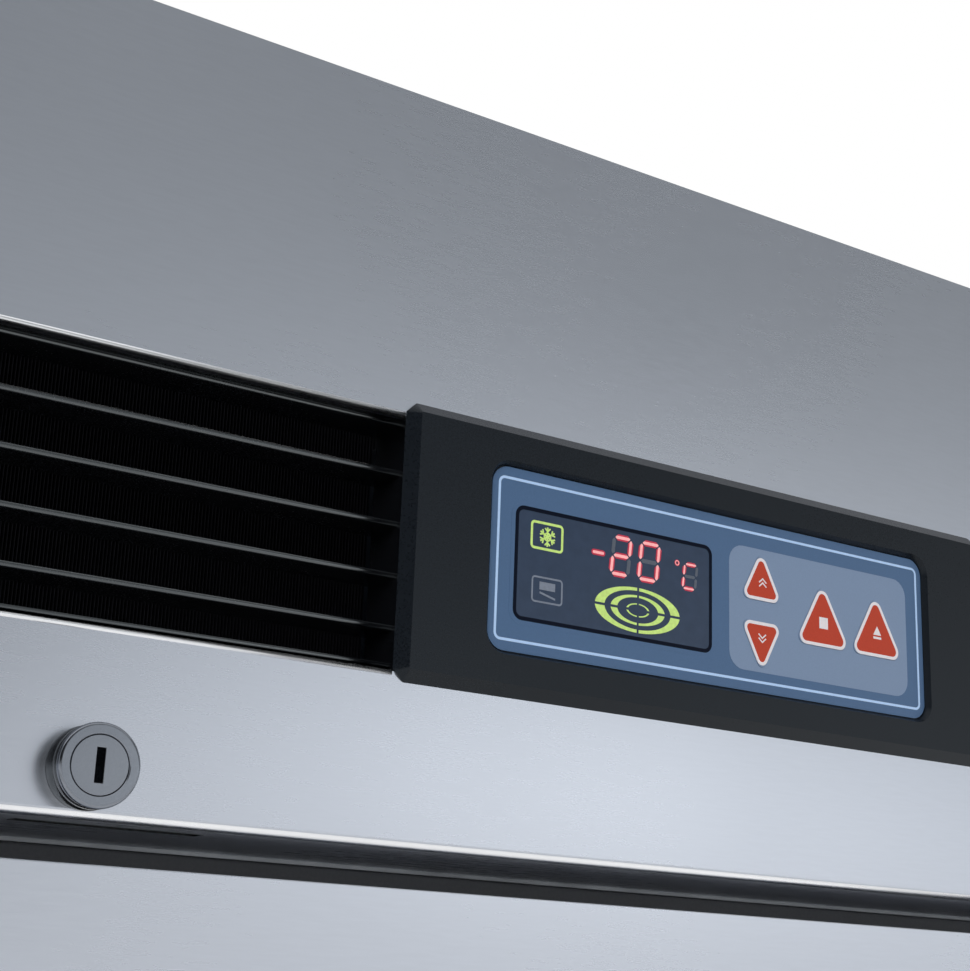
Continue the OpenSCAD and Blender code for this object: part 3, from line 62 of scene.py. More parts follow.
def box(bm, lo, hi, soft=0.0, steps=2):
    """A block between two corners, its edges rounded by soft."""
    lo, hi = Vector(lo), Vector(hi)
    verts = bmesh.ops.create_cube(bm, size=1)["verts"]
    bmesh.ops.scale(bm, vec=hi - lo, verts=verts)
    bmesh.ops.translate(bm, vec=(lo + hi) / 2, verts=verts)
    if soft:
        edges = list({e for v in verts for e in v.link_edges})
        bmesh.ops.bevel(bm, geom=edges, offset=soft, segments=steps, profile=0.5,
                        affect="EDGES", material=-1, clamp_overlap=True)


def rod(bm, a, b, r, sides=24, end_r=None):
    """A round bar from point a to point b."""
    a, b = Vector(a), Vector(b)
    turn = (b - a).to_track_quat("Z", "Y").to_matrix().to_4x4()
    bmesh.ops.create_cone(bm, cap_ends=True, segments=sides, radius1=r,
                          radius2=r if end_r is None else end_r, depth=(b - a).length,
                          matrix=Matrix.Translation((a + b) / 2) @ turn)


def thicken(bm, faces, step):
    """Draws flat faces out by step into a solid."""
    made = bmesh.ops.extrude_face_region(bm, geom=faces, use_keep_orig=True)["geom"]
    bmesh.ops.translate(bm, vec=step, verts=[g for g in made if isinstance(g, bmesh.types.BMVert)])


def prism(bm, outline, y0, y1):
    """A solid with this outline in X and Z, from depth y0 to y1."""
    face = bm.faces.new([bm.verts.new((x, y0, z)) for x, z in outline])
    thicken(bm, [face], (0, y1 - y0, 0))


def band(bm, outer, inner, y0, y1):
    """A flat ring between two outlines in X and Z, from depth y0 to y1."""
    rings = []
    for outline in (outer, inner):
        verts = [bm.verts.new((x, y0, z)) for x, z in outline]
        rings += [bm.edges.new((verts[i - 1], verts[i])) for i in range(len(verts))]
    thicken(bm, bmesh.ops.bridge_loops(bm, edges=rings)["faces"], (0, y1 - y0, 0))


def sheet(bm, outlines, y0, y1):
    """A flat sheet in X and Z from depth y0 to y1; the first outline is its edge, the others are holes."""
    edges = []
    for outline in outlines:
        verts = [bm.verts.new((x, y0, z)) for x, z in outline]
        edges += [bm.edges.new((verts[i - 1], verts[i])) for i in range(len(verts))]
    filled = bmesh.ops.triangle_fill(bm, use_beauty=True, edges=edges, normal=(0, -1, 0))["geom"]
    thicken(bm, [g for g in filled if isinstance(g, bmesh.types.BMFace)], (0, y1 - y0, 0))


def lathe(bm, profile, centre, axis, steps=48):
    """A closed profile of (radius, height) points turned about an axis through a centre."""
    turned = bmesh.new()
    verts = [turned.verts.new((r, 0, h)) for r, h in profile]
    edges = [turned.edges.new((verts[i - 1], verts[i])) for i in range(len(verts))]
    bmesh.ops.spin(turned, geom=verts + edges, cent=(0, 0, 0), axis=(0, 0, 1),
                   angle=FULL, steps=steps, use_merge=True)
    bmesh.ops.remove_doubles(turned, verts=turned.verts, dist=1e-4)
    turn = Vector(axis).to_track_quat("Z", "Y").to_matrix().to_4x4()
    bmesh.ops.transform(turned, matrix=Matrix.Translation(centre) @ turn, verts=turned.verts)
    mesh = bpy.data.meshes.new("turned")
    turned.to_mesh(mesh)
    turned.free()
    bm.from_mesh(mesh)
    bpy.data.meshes.remove(mesh)


def frame_sweep(bm, lo, hi, profile):
    """A closed profile of (outward, depth) points swept round a rectangle in X and Z, mitred."""
    corners = [(hi[0], 1, lo[1], -1), (hi[0], 1, hi[1], 1), (lo[0], -1, hi[1], 1), (lo[0], -1, lo[1], -1)]
    from_x, from_way = lo[0], -1
    verts = [bm.verts.new((lo[0] - out, y, lo[1] - out)) for out, y in profile]
    rim = [bm.edges.new((verts[i - 1], verts[i])) for i in range(len(verts))]
    for x, way_x, z, way_z in corners:
        made = bmesh.ops.extrude_edge_only(bm, edges=rim)["geom"]
        verts = [g for g in made if isinstance(g, bmesh.types.BMVert)]
        rim = [g for g in made if isinstance(g, bmesh.types.BMEdge) and g.is_boundary]
        for v in verts:
            out = (v.co.x - from_x) * from_way
            v.co = (x + way_x * out, v.co.y, z + way_z * out)
        from_x, from_way = x, way_x
    bmesh.ops.remove_doubles(bm, verts=bm.verts, dist=1e-3)


def arc(cx, cz, rx, rz, a0, a1, steps):
    """Points of an elliptic arc in X and Z, angles in degrees."""
    angles = [math.radians(a0 + (a1 - a0) * i / steps) for i in range(steps + 1)]
    return [(cx + rx * math.cos(a), cz + rz * math.sin(a)) for a in angles]


def rounded(cx, cz, w, h, r, steps=6):
    """Outline of a rectangle with round corners about (cx, cz)."""
    points = []
    for i, (sx, sz) in enumerate([(1, 1), (-1, 1), (-1, -1), (1, -1)]):
        points += arc(cx + sx * (w / 2 - r), cz + sz * (h / 2 - r), r, r, 90 * i, 90 * i + 90, steps)
    return points


def triangle(cx, foot, w, h, r, grow=0.0, down=False, rounder=0.0, steps=8):
    """Outline of a triangle with round corners that stands on its foot, or hangs from it."""
    centres = [Vector((r - w / 2, r)), Vector((w / 2 - r, r)), Vector((0, h - r))]
    sides = [(centres[i - 2] - centres[i - 1]).length for i in range(3)]
    inner = sum((c * s for c, s in zip(centres, sides)), Vector((0, 0))) / sum(sides)
    reach = (w - 2 * r) * (h - 2 * r) / sum(sides)
    centres = [inner + (c - inner) * (1 - rounder / reach) for c in centres]
    grow += rounder
    points = []
    for i in range(3):
        before, here, after = centres[i - 1], centres[i], centres[(i + 1) % 3]
        normals = [Vector((d.y, -d.x)) for d in (here - before, after - here)]
        a0, a1 = (math.degrees(math.atan2(n.y, n.x)) for n in normals)
        points += arc(here.x, here.y, r + grow, r + grow, a0, a0 + (a1 - a0) % 360, steps)
    return [(cx + x, foot - z if down else foot + z) for x, z in points]


def put(obj, body, stands_for):
    """Links an object to the scene, lets it ride on its body, and hides the CAD nodes that it replaces."""
    bpy.context.scene.collection.objects.link(obj)
    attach(obj, body)
    if stands_for:
        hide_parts(*stands_for)
    return obj


def piece(name, bm, body, slot, mat=None, stands_for=()):
    """Makes a piece of the shape in bm, in its slot's finish unless another is given."""
    bmesh.ops.scale(bm, vec=(MM, MM, MM), verts=bm.verts)
    bmesh.ops.recalc_face_normals(bm, faces=bm.faces)
    mesh = bpy.data.meshes.new(name)
    bm.to_mesh(mesh)
    bm.free()
    mesh.materials.append(mat or FINISHES[slot])
    mesh.shade_smooth()
    mesh.set_sharp_from_angle(angle=math.radians(35))
    return put(bpy.data.objects.new(name, mesh), body, stands_for)


def tubes(name, paths, body, slot, mat=None, stands_for=(), sides=3):
    """Round wires or tubes along lists of points, each with its radius; equal ends make a closed ring."""
    curve = bpy.data.curves.new(name, "CURVE")
    curve.dimensions = "3D"
    curve.bevel_resolution = sides
    curve.bevel_depth = 1.0
    curve.use_fill_caps = True
    curve.materials.append(mat or FINISHES[slot])
    for points, r in paths:
        closed = (Vector(points[0]) - Vector(points[-1])).length < 0.05
        points = points[:-1] if closed else points
        line = curve.splines.new("POLY")
        line.points.add(len(points) - 1)
        for point, place in zip(line.points, points):
            point.co = (*(Vector(place) * MM), 1)
            point.radius = r * MM
        line.use_cyclic_u = closed
        line.use_smooth = True
    obj = bpy.data.objects.new(name, curve)
    obj.modifiers.new("weld", "WELD").merge_threshold = 0.005 * MM    # joins the end caps to the tube
    return put(obj, body, stands_for)


def bends(points, r, steps=8):
    """The points of a line with each corner rounded to radius r."""
    points = [Vector(p) for p in points]
    smooth = [points[0]]
    for before, here, after in zip(points, points[1:], points[2:]):
        u, v = (before - here).normalized(), (after - here).normalized()
        half = u.angle(v) / 2
        reach = min(r / math.tan(half), 0.49 * (before - here).length, 0.49 * (after - here).length)
        bow = reach * math.tan(half)
        middle = here + (u + v).normalized() * math.hypot(reach, bow)
        start, end = here + u * reach - middle, here + v * reach - middle
        side = start.normalized()
        ahead = (end - side * end.dot(side)).normalized()
        sweep = math.pi - 2 * half
        smooth += [middle + (side * math.cos(a) + ahead * math.sin(a)) * bow
                   for a in (sweep * i / steps for i in range(steps + 1))]
    return smooth + [points[-1]]


# Finishes

def add_node(tree, kind, **values):
    """Adds a shader node to a tree and sets its inputs."""
    made = tree.nodes.new("ShaderNode" + kind)
    for socket, value in values.items():
        made.inputs[socket.replace("_", " ")].default_value = value
    return made


def added(tree, a, b):
    """The sum of two values, at most 1."""
    made = add_node(tree, "Math")
    made.operation = "ADD"
    made.use_clamp = True
    tree.links.new(a, made.inputs[0])
    tree.links.new(b, made.inputs[1])
    return made.outputs["Value"]


def finish(name, colour, rough, metal=0.0, grain=400, spread=0.06, rough_spread=0.06,
           bump=0.15, depth=0.05, cloud=8.0, smudge=0.05, **sockets):
    """A finish whose colour, gloss and surface vary with a fine grain and with broad, faint clouds.

    Grain and cloud are in cells per metre, one number or one for each axis, and depth is in millimetres.
    """
    mat = bpy.data.materials.new(name)
    mat.use_nodes = True
    tree, links = mat.node_tree, mat.node_tree.links
    shader = tree.nodes["Principled BSDF"]
    shader.inputs["Metallic"].default_value = metal
    for socket, value in sockets.items():
        shader.inputs[socket.replace("_", " ")].default_value = value
    place = add_node(tree, "TexCoord")

    def noise(cells):
        scaled = add_node(tree, "Mapping", Scale=cells if isinstance(cells, tuple) else (cells,) * 3)
        links.new(place.outputs["Object"], scaled.inputs["Vector"])
        made = add_node(tree, "TexNoise", Scale=1.0, Detail=2.0)
        links.new(scaled.outputs["Vector"], made.inputs["Vector"])
        return made.outputs["Fac"]

    fine, broad = noise(grain), noise(cloud)
    ramp = add_node(tree, "ValToRGB")
    for element, position, shade in zip(ramp.color_ramp.elements, (0.3, 0.7), (1 - spread, 1 + spread)):
        element.position = position
        element.color = (*(min(1, c * shade) for c in colour), 1)
    links.new(fine, ramp.inputs["Fac"])
    links.new(ramp.outputs["Color"], shader.inputs["Base Color"])
    gloss = []
    for source, width in ((fine, rough_spread), (broad, smudge)):
        shift = add_node(tree, "MapRange", From_Min=0.3, From_Max=0.7,
                         To_Min=rough / 2 - width, To_Max=rough / 2 + width)
        links.new(source, shift.inputs["Value"])
        gloss.append(shift.outputs["Result"])
    links.new(added(tree, *gloss), shader.inputs["Roughness"])
    relief = add_node(tree, "Bump", Strength=bump, Distance=depth * MM)
    links.new(fine, relief.inputs["Height"])
    links.new(relief.outputs["Normal"], shader.inputs["Normal"])
    return mat


def glow(name, colour, strength):
    """A lit lamp segment behind the film, a little brighter in places."""
    mat = finish(name, [c * 0.4 for c in colour], 0.4, grain=900, spread=0.1)
    shader = mat.node_tree.nodes["Principled BSDF"]
    ramp = mat.node_tree.nodes["Color Ramp"]
    mat.node_tree.links.new(ramp.outputs["Color"], shader.inputs["Emission Color"])
    shader.inputs["Emission Strength"].default_value = strength
    return mat


def brushed(name, grain):
    """Brushed stainless sheet, its grain drawn out along one axis."""
    return finish(name, (0.610, 0.640, 0.705), 0.28, 1.0, grain, 0.014, 0.008, bump=0.0, depth=0.02,
                  cloud=5.0, smudge=0.02)


def paint_light_on_underside(mat, z, metal):
    """Paints light on the steel's faces that lie at height z, in metres: there its metal share drops to
    metal, so the underside shows lighter than the polished sheet would.
    """
    tree, links = mat.node_tree, mat.node_tree.links
    split = add_node(tree, "SeparateXYZ")
    share = add_node(tree, "MapRange", From_Min=z + 0.02 * MM, From_Max=z + 0.06 * MM, To_Min=metal)
    links.new(add_node(tree, "TexCoord").outputs["Object"], split.inputs["Vector"])
    links.new(split.outputs["Z"], share.inputs["Value"])
    links.new(share.outputs["Result"], tree.nodes["Principled BSDF"].inputs["Metallic"])


ALONG = (110, 1000, 1000)      # grain of brushed sheet along X, cells per metre
UPRIGHT = (1000, 1000, 110)    # and along Z
steel_upright = brushed("brushed steel, grain upright", UPRIGHT)
fascia_steel = brushed("fascia steel", ALONG)
# Painted light on the fascia's downward flange, by a lower metal share there
paint_light_on_underside(fascia_steel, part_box("fascia_panel")[0].z, 0.38)

# Each finish: colour, roughness, metal, grain, spread of colour and of roughness, bump and its depth
FINISHES = {
    "stainless": brushed("brushed steel, grain across", ALONG),
    "galvanised": finish("galvanised sheet", (0.52, 0.54, 0.56), 0.46, 0.85, 70, 0.12, 0.08, 0.1),
    "foam": finish("rigid foam", (0.80, 0.72, 0.50), 0.85, 0.0, 300, 0.10, 0.05, 0.5, 0.3),
    "liner_white": finish("white liner", (0.80, 0.81, 0.82), 0.36, 0.0, 900, 0.02, 0.05, 0.25, 0.04),
    "frame_grey": finish("grey breaker frame", (0.24, 0.25, 0.27), 0.5, 0.0, 900, 0.06),
    "dark_steel": finish("black stoved paint", (0.022, 0.022, 0.024), 0.42, 0.0, 700, 0.15, 0.08, 0.3, 0.06),
    "white_plastic": finish("white moulding", (0.74, 0.74, 0.72), 0.45, 0.0, 900, 0.03),
    "black_plastic": finish("black moulding", (0.0042, 0.0062, 0.0095), 0.33, 0.0, 1500, 0.2, 0.05, 0.3,
                            0.03, Specular_IOR_Level=0.29, Specular_Tint=(0.86, 0.94, 1.0, 1.0)),
    "overlay_blue": finish("blue overlay film", (0.058, 0.121, 0.236), 0.42, 0.0, 2500, 0.04, 0.05, 0.3,
                           0.02, Specular_IOR_Level=0.3),
    "window_dark": finish("dark window", (0.025, 0.044, 0.084), 0.18, 0.0, 300, 0.06, 0.03, 0.02, 0.01,
                          Specular_IOR_Level=0.28),
    "key_red": finish("red key film", (0.46, 0.046, 0.018), 0.42, 0.0, 2500, 0.05, 0.05, 0.3, 0.02,
                      Specular_IOR_Level=0.15),
    "board_green": finish("green board", (0.015, 0.12, 0.05), 0.35, 0.0, 500, 0.12),
    "lock_chrome": finish("satin chrome", (0.25, 0.27, 0.305), 0.22, 1.0, 1200, 0.05, 0.05, 0.2, 0.02),
    "zinc": finish("zinc plate", (0.56, 0.57, 0.58), 0.34, 1.0, 160, 0.08, 0.06, 0.15, 0.05),
    "shelf_wire": finish("coated wire", (0.72, 0.73, 0.74), 0.35, 0.0, 700, 0.04),
    "fins": finish("aluminium fins", (0.68, 0.69, 0.70), 0.36, 1.0, 200, 0.08, 0.06),
    "copper": finish("drawn copper", (0.62, 0.27, 0.14), 0.30, 1.0, 160, 0.16, 0.08, 0.1),
    "gasket_grey": finish("gasket rubber", (0.10, 0.10, 0.105), 0.6, 0.0, 900, 0.08),
    "wheel_grey": finish("wheel tread", (0.055, 0.055, 0.06), 0.62, 0.0, 500, 0.15, 0.06, 0.5, 0.1),
    "pedal_red": finish("red pedal paint", (0.38, 0.022, 0.018), 0.36, 0.0, 700, 0.08),
}
plug_chrome = finish("plug chrome", (0.27, 0.29, 0.325), 0.26, 1.0, 1200, 0.05, 0.05, 0.2, 0.02)
film_white = finish("white print", (0.74, 0.70, 0.73), 0.45, 0.0, 2500, 0.04)
film_border = finish("pale blue print", (0.42, 0.60, 0.88), 0.42, 0.0, 2500, 0.04)
film_pad = finish("grey blue print", (0.175, 0.248, 0.375), 0.42, 0.0, 2500, 0.04, Specular_IOR_Level=0.3)
film_dark = finish("dark print", (0.001, 0.0035, 0.012), 0.4, 0.0, 2500, 0.1, Specular_IOR_Level=0.08)
louvre_black = finish("louvre moulding", (0.0045, 0.005, 0.0065), 0.22, 0.0, 1500, 0.2, 0.05, 0.2, 0.03,
                      Specular_IOR_Level=0.9, IOR=1.7, Specular_Tint=(0.9, 0.97, 1.0, 1.0))
coil_black = finish("black coil coating", (0.010, 0.010, 0.0125), 0.6, 0.0, 700, 0.2, Specular_IOR_Level=0.1)
ghost = finish("unlit segments", (0.075, 0.092, 0.125), 0.35, 0.0, 900, 0.1)
ghost_pale = finish("unlit marks", (0.17, 0.20, 0.26), 0.35, 0.0, 900, 0.1)
# Painted highlight: a steel far lighter than the sheet's, for the beads along the openings' edges and the
# lower bend
painted_highlight_steel = finish("bright edge", (0.95, 0.96, 0.98), 0.3, 1.0, ALONG, 0.02, 0.02, 0.0)
lit_red = glow("lit red halo", (0.58, 0.014, 0.055), 1.25)
lit_core = glow("lit red segments", (0.98, 0.43, 0.43), 1.6)
lit_green = glow("lit green marks", (0.66, 0.92, 0.23), 1.0)


# The CAD nodes that stay: their finish, and their edges rounded

def dress(node, mat, soft=0.0):
    """Gives a CAD node its finish and rounds its edges by soft."""
    obj = frame["nodes"][node]
    obj.data.materials.clear()
    obj.data.materials.append(mat)
    if soft:
        weld = obj.modifiers.new("weld", "WELD")
        weld.merge_threshold = 0.002 * MM
        flat = obj.modifiers.new("flat", "DECIMATE")
        flat.decimate_type = "DISSOLVE"
        flat.angle_limit = math.radians(0.5)
        round_off = obj.modifiers.new("round", "BEVEL")
        round_off.width = soft * MM
        round_off.segments = 2
        round_off.limit_method = "ANGLE"
        round_off.angle_limit = math.radians(40)
        even = obj.modifiers.new("even", "WEIGHTED_NORMAL")
        even.keep_sharp = False


# Radii of the rounded edges, in millimetres
SOFT = {
    "side_panel_left": 0.4, "side_panel_right": 0.4, "back_panel": 0.4, "base_frame": 1.0,
    "door_skin": 0.5, "handle_cup": 0.7, "breaker_frame": 1.0, "probe_port": 0.8,
    "hinge_brackets": 0.5, "fascia_panel": 0.35, "bezel": 0.45, "overlay": 0.12,
    "display_window": 0.12, "control_housing": 0.5, "electrical_box": 1.0, "pilasters": 0.4,
    "shelf_clips": 0.4, "evaporator_cover": 0.4, "lock_cam": 0.3, "lock_plug": 0.2, "lock_nut": 0.3,
    "lock_strike": 0.4, "key_up": 0.1, "key_down": 0.1, "key_square": 0.1, "key_bar": 0.1,
    "condenser_shroud": 0.6, "pedal_left": 0.8, "pedal_right": 0.8,
}
for part in frame["record"]["subparts"]:
    name = part["node"]
    mat = steel_upright if name.startswith("side_panel") else FINISHES[part["material_slot"]]
    dress(name, mat, SOFT.get(name, 0.0))
dress("fascia_panel", fascia_steel)
dress("lock_plug", plug_chrome)


# Control fascia: louvres with round-nosed blades, and beads in a lighter steel that paint the highlights on
# the sheet's edges

fascia_lo, fascia_hi = span("fascia_panel")
front_y = fascia_lo.y
bezel_x = span("bezel")[1].x
LIP_X, LIP_Z = 2.5, 4.0    # how far a louvre reaches past its opening
WALL = 2.5                 # thickness of its frame
# Blades and sill: height over the opening's lower edge, thickness, rounding and its steps
BLADES = [(14.8 + 16 * number, 1.9, 0.8, 4) for number in range(5)]
SILL = (3.5, 1.2, 0.25, 2)
near, far = front_y + 9, front_y + 25
BEAD = 1.0                 # radius of the bead round an opening, whose lighter steel is a painted highlight
BEND, BEND_R = 2.45, 2.44  # depth of the lower bend's axis behind its two faces, and its radius
for side, out in (("left", -1), ("right", 1)):
    lo, hi = span("louvre_" + side)
    low, high = lo.z + LIP_Z, hi.z - LIP_Z
    shape = bmesh.new()
    band(shape, [(lo.x, lo.z), (hi.x, lo.z), (hi.x, hi.z), (lo.x, hi.z)],
         [(lo.x + WALL, lo.z + WALL), (hi.x - WALL, lo.z + WALL),
          (hi.x - WALL, hi.z - WALL), (lo.x + WALL, hi.z - WALL)], lo.y, hi.y)
    for height, thick, soft, steps in BLADES + [SILL]:
        box(shape, (lo.x + WALL / 2, near, low + height - thick / 2),
            (hi.x - WALL / 2, far, low + height + thick / 2), soft, steps)
    piece("louvre_blades_" + side, shape, "cabinet", "black_plastic", louvre_black, ["louvre_" + side])
    at_bezel, at_end = out * (bezel_x + 0.3), (lo.x if out < 0 else hi.x) - out * LIP_X
    bead_y, over, under = front_y + BEAD / 2, high + BEAD / 2, low - BEAD / 2
    tubes("opening_bead_" + side, [([(at_bezel, bead_y, over), (at_end, bead_y, over),
                                     (at_end, bead_y, under), (at_bezel, bead_y, under)], BEAD)],
          "cabinet", "stainless", painted_highlight_steel)
# The lower bend: a bead in the lighter steel, a painted highlight along the fascia's bottom edge
bend = [(x, front_y + BEND, fascia_lo.z + BEND) for x in (fascia_lo.x + 0.3, fascia_hi.x - 0.3)]
tubes("fascia_bend", [(bend, BEND_R)], "cabinet", "stainless", painted_highlight_steel, sides=8)


# Control panel: printed border, pad and window rim, lamp segments and marks, drawn about its middle

overlay_lo, overlay_hi = span("overlay")
film_y, panel_z = overlay_lo.y, (overlay_lo.z + overlay_hi.z) / 2
PRINT, SUNK = 0.05, 0.15    # how far a print stands out of its film and goes into it
LAYER = 0.004               # step between prints that lie over each other


def on_panel(outline):
    """An outline drawn about the panel's middle, at its height on the cabinet."""
    return [(x, panel_z + z) for x, z in outline]


def printed(name, shapes, body, slot, mat=None, face=film_y):
    """Flat prints: each is an outline, or an outer and an inner outline."""
    shape = bmesh.new()
    for number, outlines in enumerate(shapes):
        lift = PRINT + LAYER * (number % 4)
        (band if len(outlines) == 2 else prism)(shape, *map(on_panel, outlines), face - lift, face + SUNK)
    return piece(name, shape, body, slot, mat)


def ring(outline, *size, line):
    """A printed line of this width along an outline given by its middle, size and corner radius."""
    cx, cz, w, h, r = size
    return [outline(cx, cz, w + line, h + line, r + line / 2),
            outline(cx, cz, w - line, h - line, r - line / 2)]


def circle(cx, cz, r):
    """Outline of a small circle."""
    return arc(cx, cz, r, r, 0, 345, 23)


def segments(x0, z0, w, h, lean, t, names):
    """Outlines of the named segments of a seven-segment figure, leaning to the right."""
    mid = h / 2
    gap = 0.36
    ends = {"a": ((0, h), (w, h)), "b": ((w, mid), (w, h)), "c": ((w, 0), (w, mid)), "d": ((0, 0), (w, 0)),
            "e": ((0, 0), (0, mid)), "f": ((0, mid), (0, h)), "g": ((0, mid), (w, mid))}
    made = []
    for name in names:
        a, b = (Vector(p) for p in ends[name])
        along = (b - a).normalized()
        across = Vector((-along.y, along.x)) * t / 2
        a, b = a + along * gap, b - along * gap
        points = [a, a + along * t / 2 + across, b - along * t / 2 + across, b,
                  b - along * t / 2 - across, a + along * t / 2 - across]
        made.append([[(x0 + p.x + lean * p.y / h, z0 + p.y) for p in points]])
    return made


printed("panel_border", [ring(rounded, 0, 0, 180.6, 50.9, 1.9, line=0.85)], "cabinet", "overlay_blue",
        film_border)
# Each key: middle, foot, width, height and corner radius, and whether it hangs down from its foot
KEYS = {"up": (16.2, 2.4, 15.8, 15.3, 2.0, False), "down": (16.2, -5.0, 15.8, 15.3, 2.0, True),
        "square": (44.1, -9.5, 22.0, 20.2, 2.4, False), "bar": (69.6, -9.5, 22.0, 20.2, 2.4, False)}
KEY_GAP = 0.05    # between a key and its hole in the pad's print
shape = bmesh.new()
holes = [triangle(*size, KEY_GAP, down) for *size, down in KEYS.values()]
sheet(shape, map(on_panel, [rounded(43.5, -0.95, 82.6, 42.3, 6)] + holes), film_y - PRINT, film_y + SUNK)
piece("panel_pad", shape, "cabinet", "overlay_blue", film_pad)
printed("window_mask", [[rounded(-44.9, -0.8, 81.2, 38.8, 4.5), rounded(-44.65, -0.6, 78.9, 36.4, 3.3)]],
        "cabinet", "overlay_blue")
printed("window_rim", [[rounded(-44.65, -0.6, 79.3, 36.8, 3.5), rounded(-44.65, -0.6, 76.3, 33.8, 2.0)]],
        "cabinet", "window_dark", film_dark, film_y + 0.02)

# Lit figures: a wide red halo with a bright core, and the grey of the segments that are off.
# Each figure: left and lower edge, width, height, lean, widths of its segments, and those that are lit
LARGE = {"halo": 2.05, "core": 1.0, "off": 1.35}    # widths of the segments
SMALL = {"halo": 1.55, "core": 0.65, "off": 1.0}
FIGURES = [(-47.0, 1.7, 6.7, 12.1, 1.2, LARGE, "abged"), (-35.9, 1.7, 7.2, 12.1, 1.2, LARGE, "abcdef"),
           (-17.7, 1.5, 5.2, 8.2, 0.9, SMALL, "adef")]
MINUS, DEGREE = (-52.1, 7.45), (-20.05, 9.47)
halo = [[rounded(*MINUS, 5.4, 1.9, 0.855, 3)]]
core = [[rounded(*MINUS, 4.4, 0.9, 0.405, 3)]]
off = []
for *place, widths, on in FIGURES:
    halo += segments(*place, widths["halo"], on)
    core += segments(*place, widths["core"], on)
    off += segments(*place, widths["off"], [name for name in "abcdefg" if name not in on])
halo.append([circle(*DEGREE, 1.05), circle(*DEGREE, 0.4)])
core.append([circle(*DEGREE, 0.85), circle(*DEGREE, 0.6)])
printed("lit_halo", halo, "cabinet", "window_dark", lit_red)
printed("lit_figures", core, "cabinet", "window_dark", lit_core, film_y - 0.03)

# Lit marks: a snowflake in a frame, and a target of three broken ovals
FLAKE, TARGET = Vector((-71.9, 9.0)), Vector((-36.0, -8.9))
green = [ring(rounded, -72.05, 9.1, 11.6, 8.3, 1.0, line=0.8)]
for number in range(3):
    a = math.radians(90 + 60 * number)
    u, v = Vector((math.cos(a), math.sin(a))), Vector((-math.sin(a), math.cos(a)))
    green.append([[FLAKE + u * s * 3.1 + v * q * 0.3 for s, q in ((-1, -1), (1, -1), (1, 1), (-1, 1))]])
    for s, q in ((-1, -1), (-1, 1), (1, -1), (1, 1)):
        tip, root = FLAKE + u * s * 2.75 + v * q * 1.0, FLAKE + u * s * 1.75
        half = (tip - root).orthogonal().normalized() * 0.25
        green.append([[root - half, root + half, tip + half, tip - half]])
green.append([circle(*FLAKE, 1.45), circle(*FLAKE, 0.95)])
GAP = 0.42    # half the gap between the quarters of an oval
for out_x, out_z, in_x, in_z in ((17.1, 7.35, 13.35, 6.35), (10.9, 4.85, 8.3, 4.15), (4.65, 2.2, 3.95, 1.85)):
    for number, (sx, sz) in enumerate(((1, 1), (-1, 1), (-1, -1), (1, -1))):
        a0, a1 = 90 * number, 90 * number + 90
        rim = arc(0, 0, out_x, out_z, a0, a1, 14) + arc(0, 0, in_x, in_z, a1, a0, 14)
        green.append([[TARGET + Vector((sx * max(sx * x, GAP), sz * max(sz * z, GAP))) for x, z in rim]])
printed("lit_marks", green, "cabinet", "window_dark", lit_green)

printed("unlit_segments", off, "cabinet", "window_dark", ghost)
printed("unlit_marks", [ring(rounded, -71.5, -8.1, 11.2, 7.8, 1.0, line=0.55),
                        [[(-74.4, -8.1), (-68.5, -8.1), (-68.5, -5.6), (-74.4, -5.6)]],
                        [[(-74.3, -9.3), (-68.4, -10.8), (-68.4, -10.2), (-74.3, -8.7)]]],
        "cabinet", "window_dark", ghost_pale)


def chevron(cx, cz, up):
    """Outline of one chevron that points up or down."""
    s = 1 if up else -1
    return [(cx + x, cz + s * z) for x, z in ((-1.8, -1.15), (-1.45, -1.45), (0, -0.2), (1.45, -1.45),
                                              (1.8, -1.15), (0, 0.4))]


MARKS = {
    "up": [[chevron(16.8, 9.9, True)], [chevron(16.8, 8.5, True)]],
    "down": [[chevron(16.4, -10.4, False)], [chevron(16.4, -11.8, False)]],
    "square": [[[(42.5, -3.2), (46.5, -3.2), (46.5, 0.8), (42.5, 0.8)]]],
    "bar": [[[(68.2, -1.7), (72.0, -1.7), (70.1, 1.5)]],
            [[(68.2, -3.1), (72.0, -3.1), (72.0, -2.3), (68.2, -2.3)]]],
}
for key, (*size, down) in KEYS.items():
    key_face = span("key_" + key)[0].y
    dress("key_" + key, film_pad)
    rim, mid, inner = (triangle(*size, grow, down, 0.5) for grow in (0.0, -0.5, -1.1))
    printed("key_film_" + key, [[mid]], key + "_key", "key_red", face=key_face)
    printed("key_marks_" + key, [[rim, inner]] + MARKS[key], key + "_key", "key_red", film_white,
            key_face - 0.03)


# Cam lock: turned head with a stepped face, dark collar behind it, and the rim of the cam's slot

lock_lo, lock_hi = span("lock_body")
lock_x, lock_z = (lock_lo.x + lock_hi.x) / 2, (lock_lo.z + lock_hi.z) / 2
HEAD = [(7.75, 0.6), (7.95, 0.15), (8.15, 0.0), (8.25, 0.0), (10.1, 0.0), (10.2, 0.0), (10.6, 0.2),
        (10.9, 0.55), (11.0, 1.1), (10.9, 2.0), (10.2, 2.2), (10.2, 9.5), (9.25, 9.5), (9.25, 23.0),
        (7.75, 23.0)]
COLLAR = [(10.3, 2.3), (10.7, 2.3), (10.95, 2.8), (10.95, 4.6), (10.7, 5.0), (10.95, 5.4), (11.0, 9.3),
          (10.3, 9.45)]
for name, profile, *look in (("lock_cylinder", HEAD, "lock_chrome", None, ["lock_body"]),
                             ("lock_collar", COLLAR, "black_plastic", louvre_black)):
    shape = bmesh.new()
    lathe(shape, profile, (lock_x, lock_lo.y, lock_z), (0, 1, 0), 72)
    piece(name, shape, "cabinet", *look)

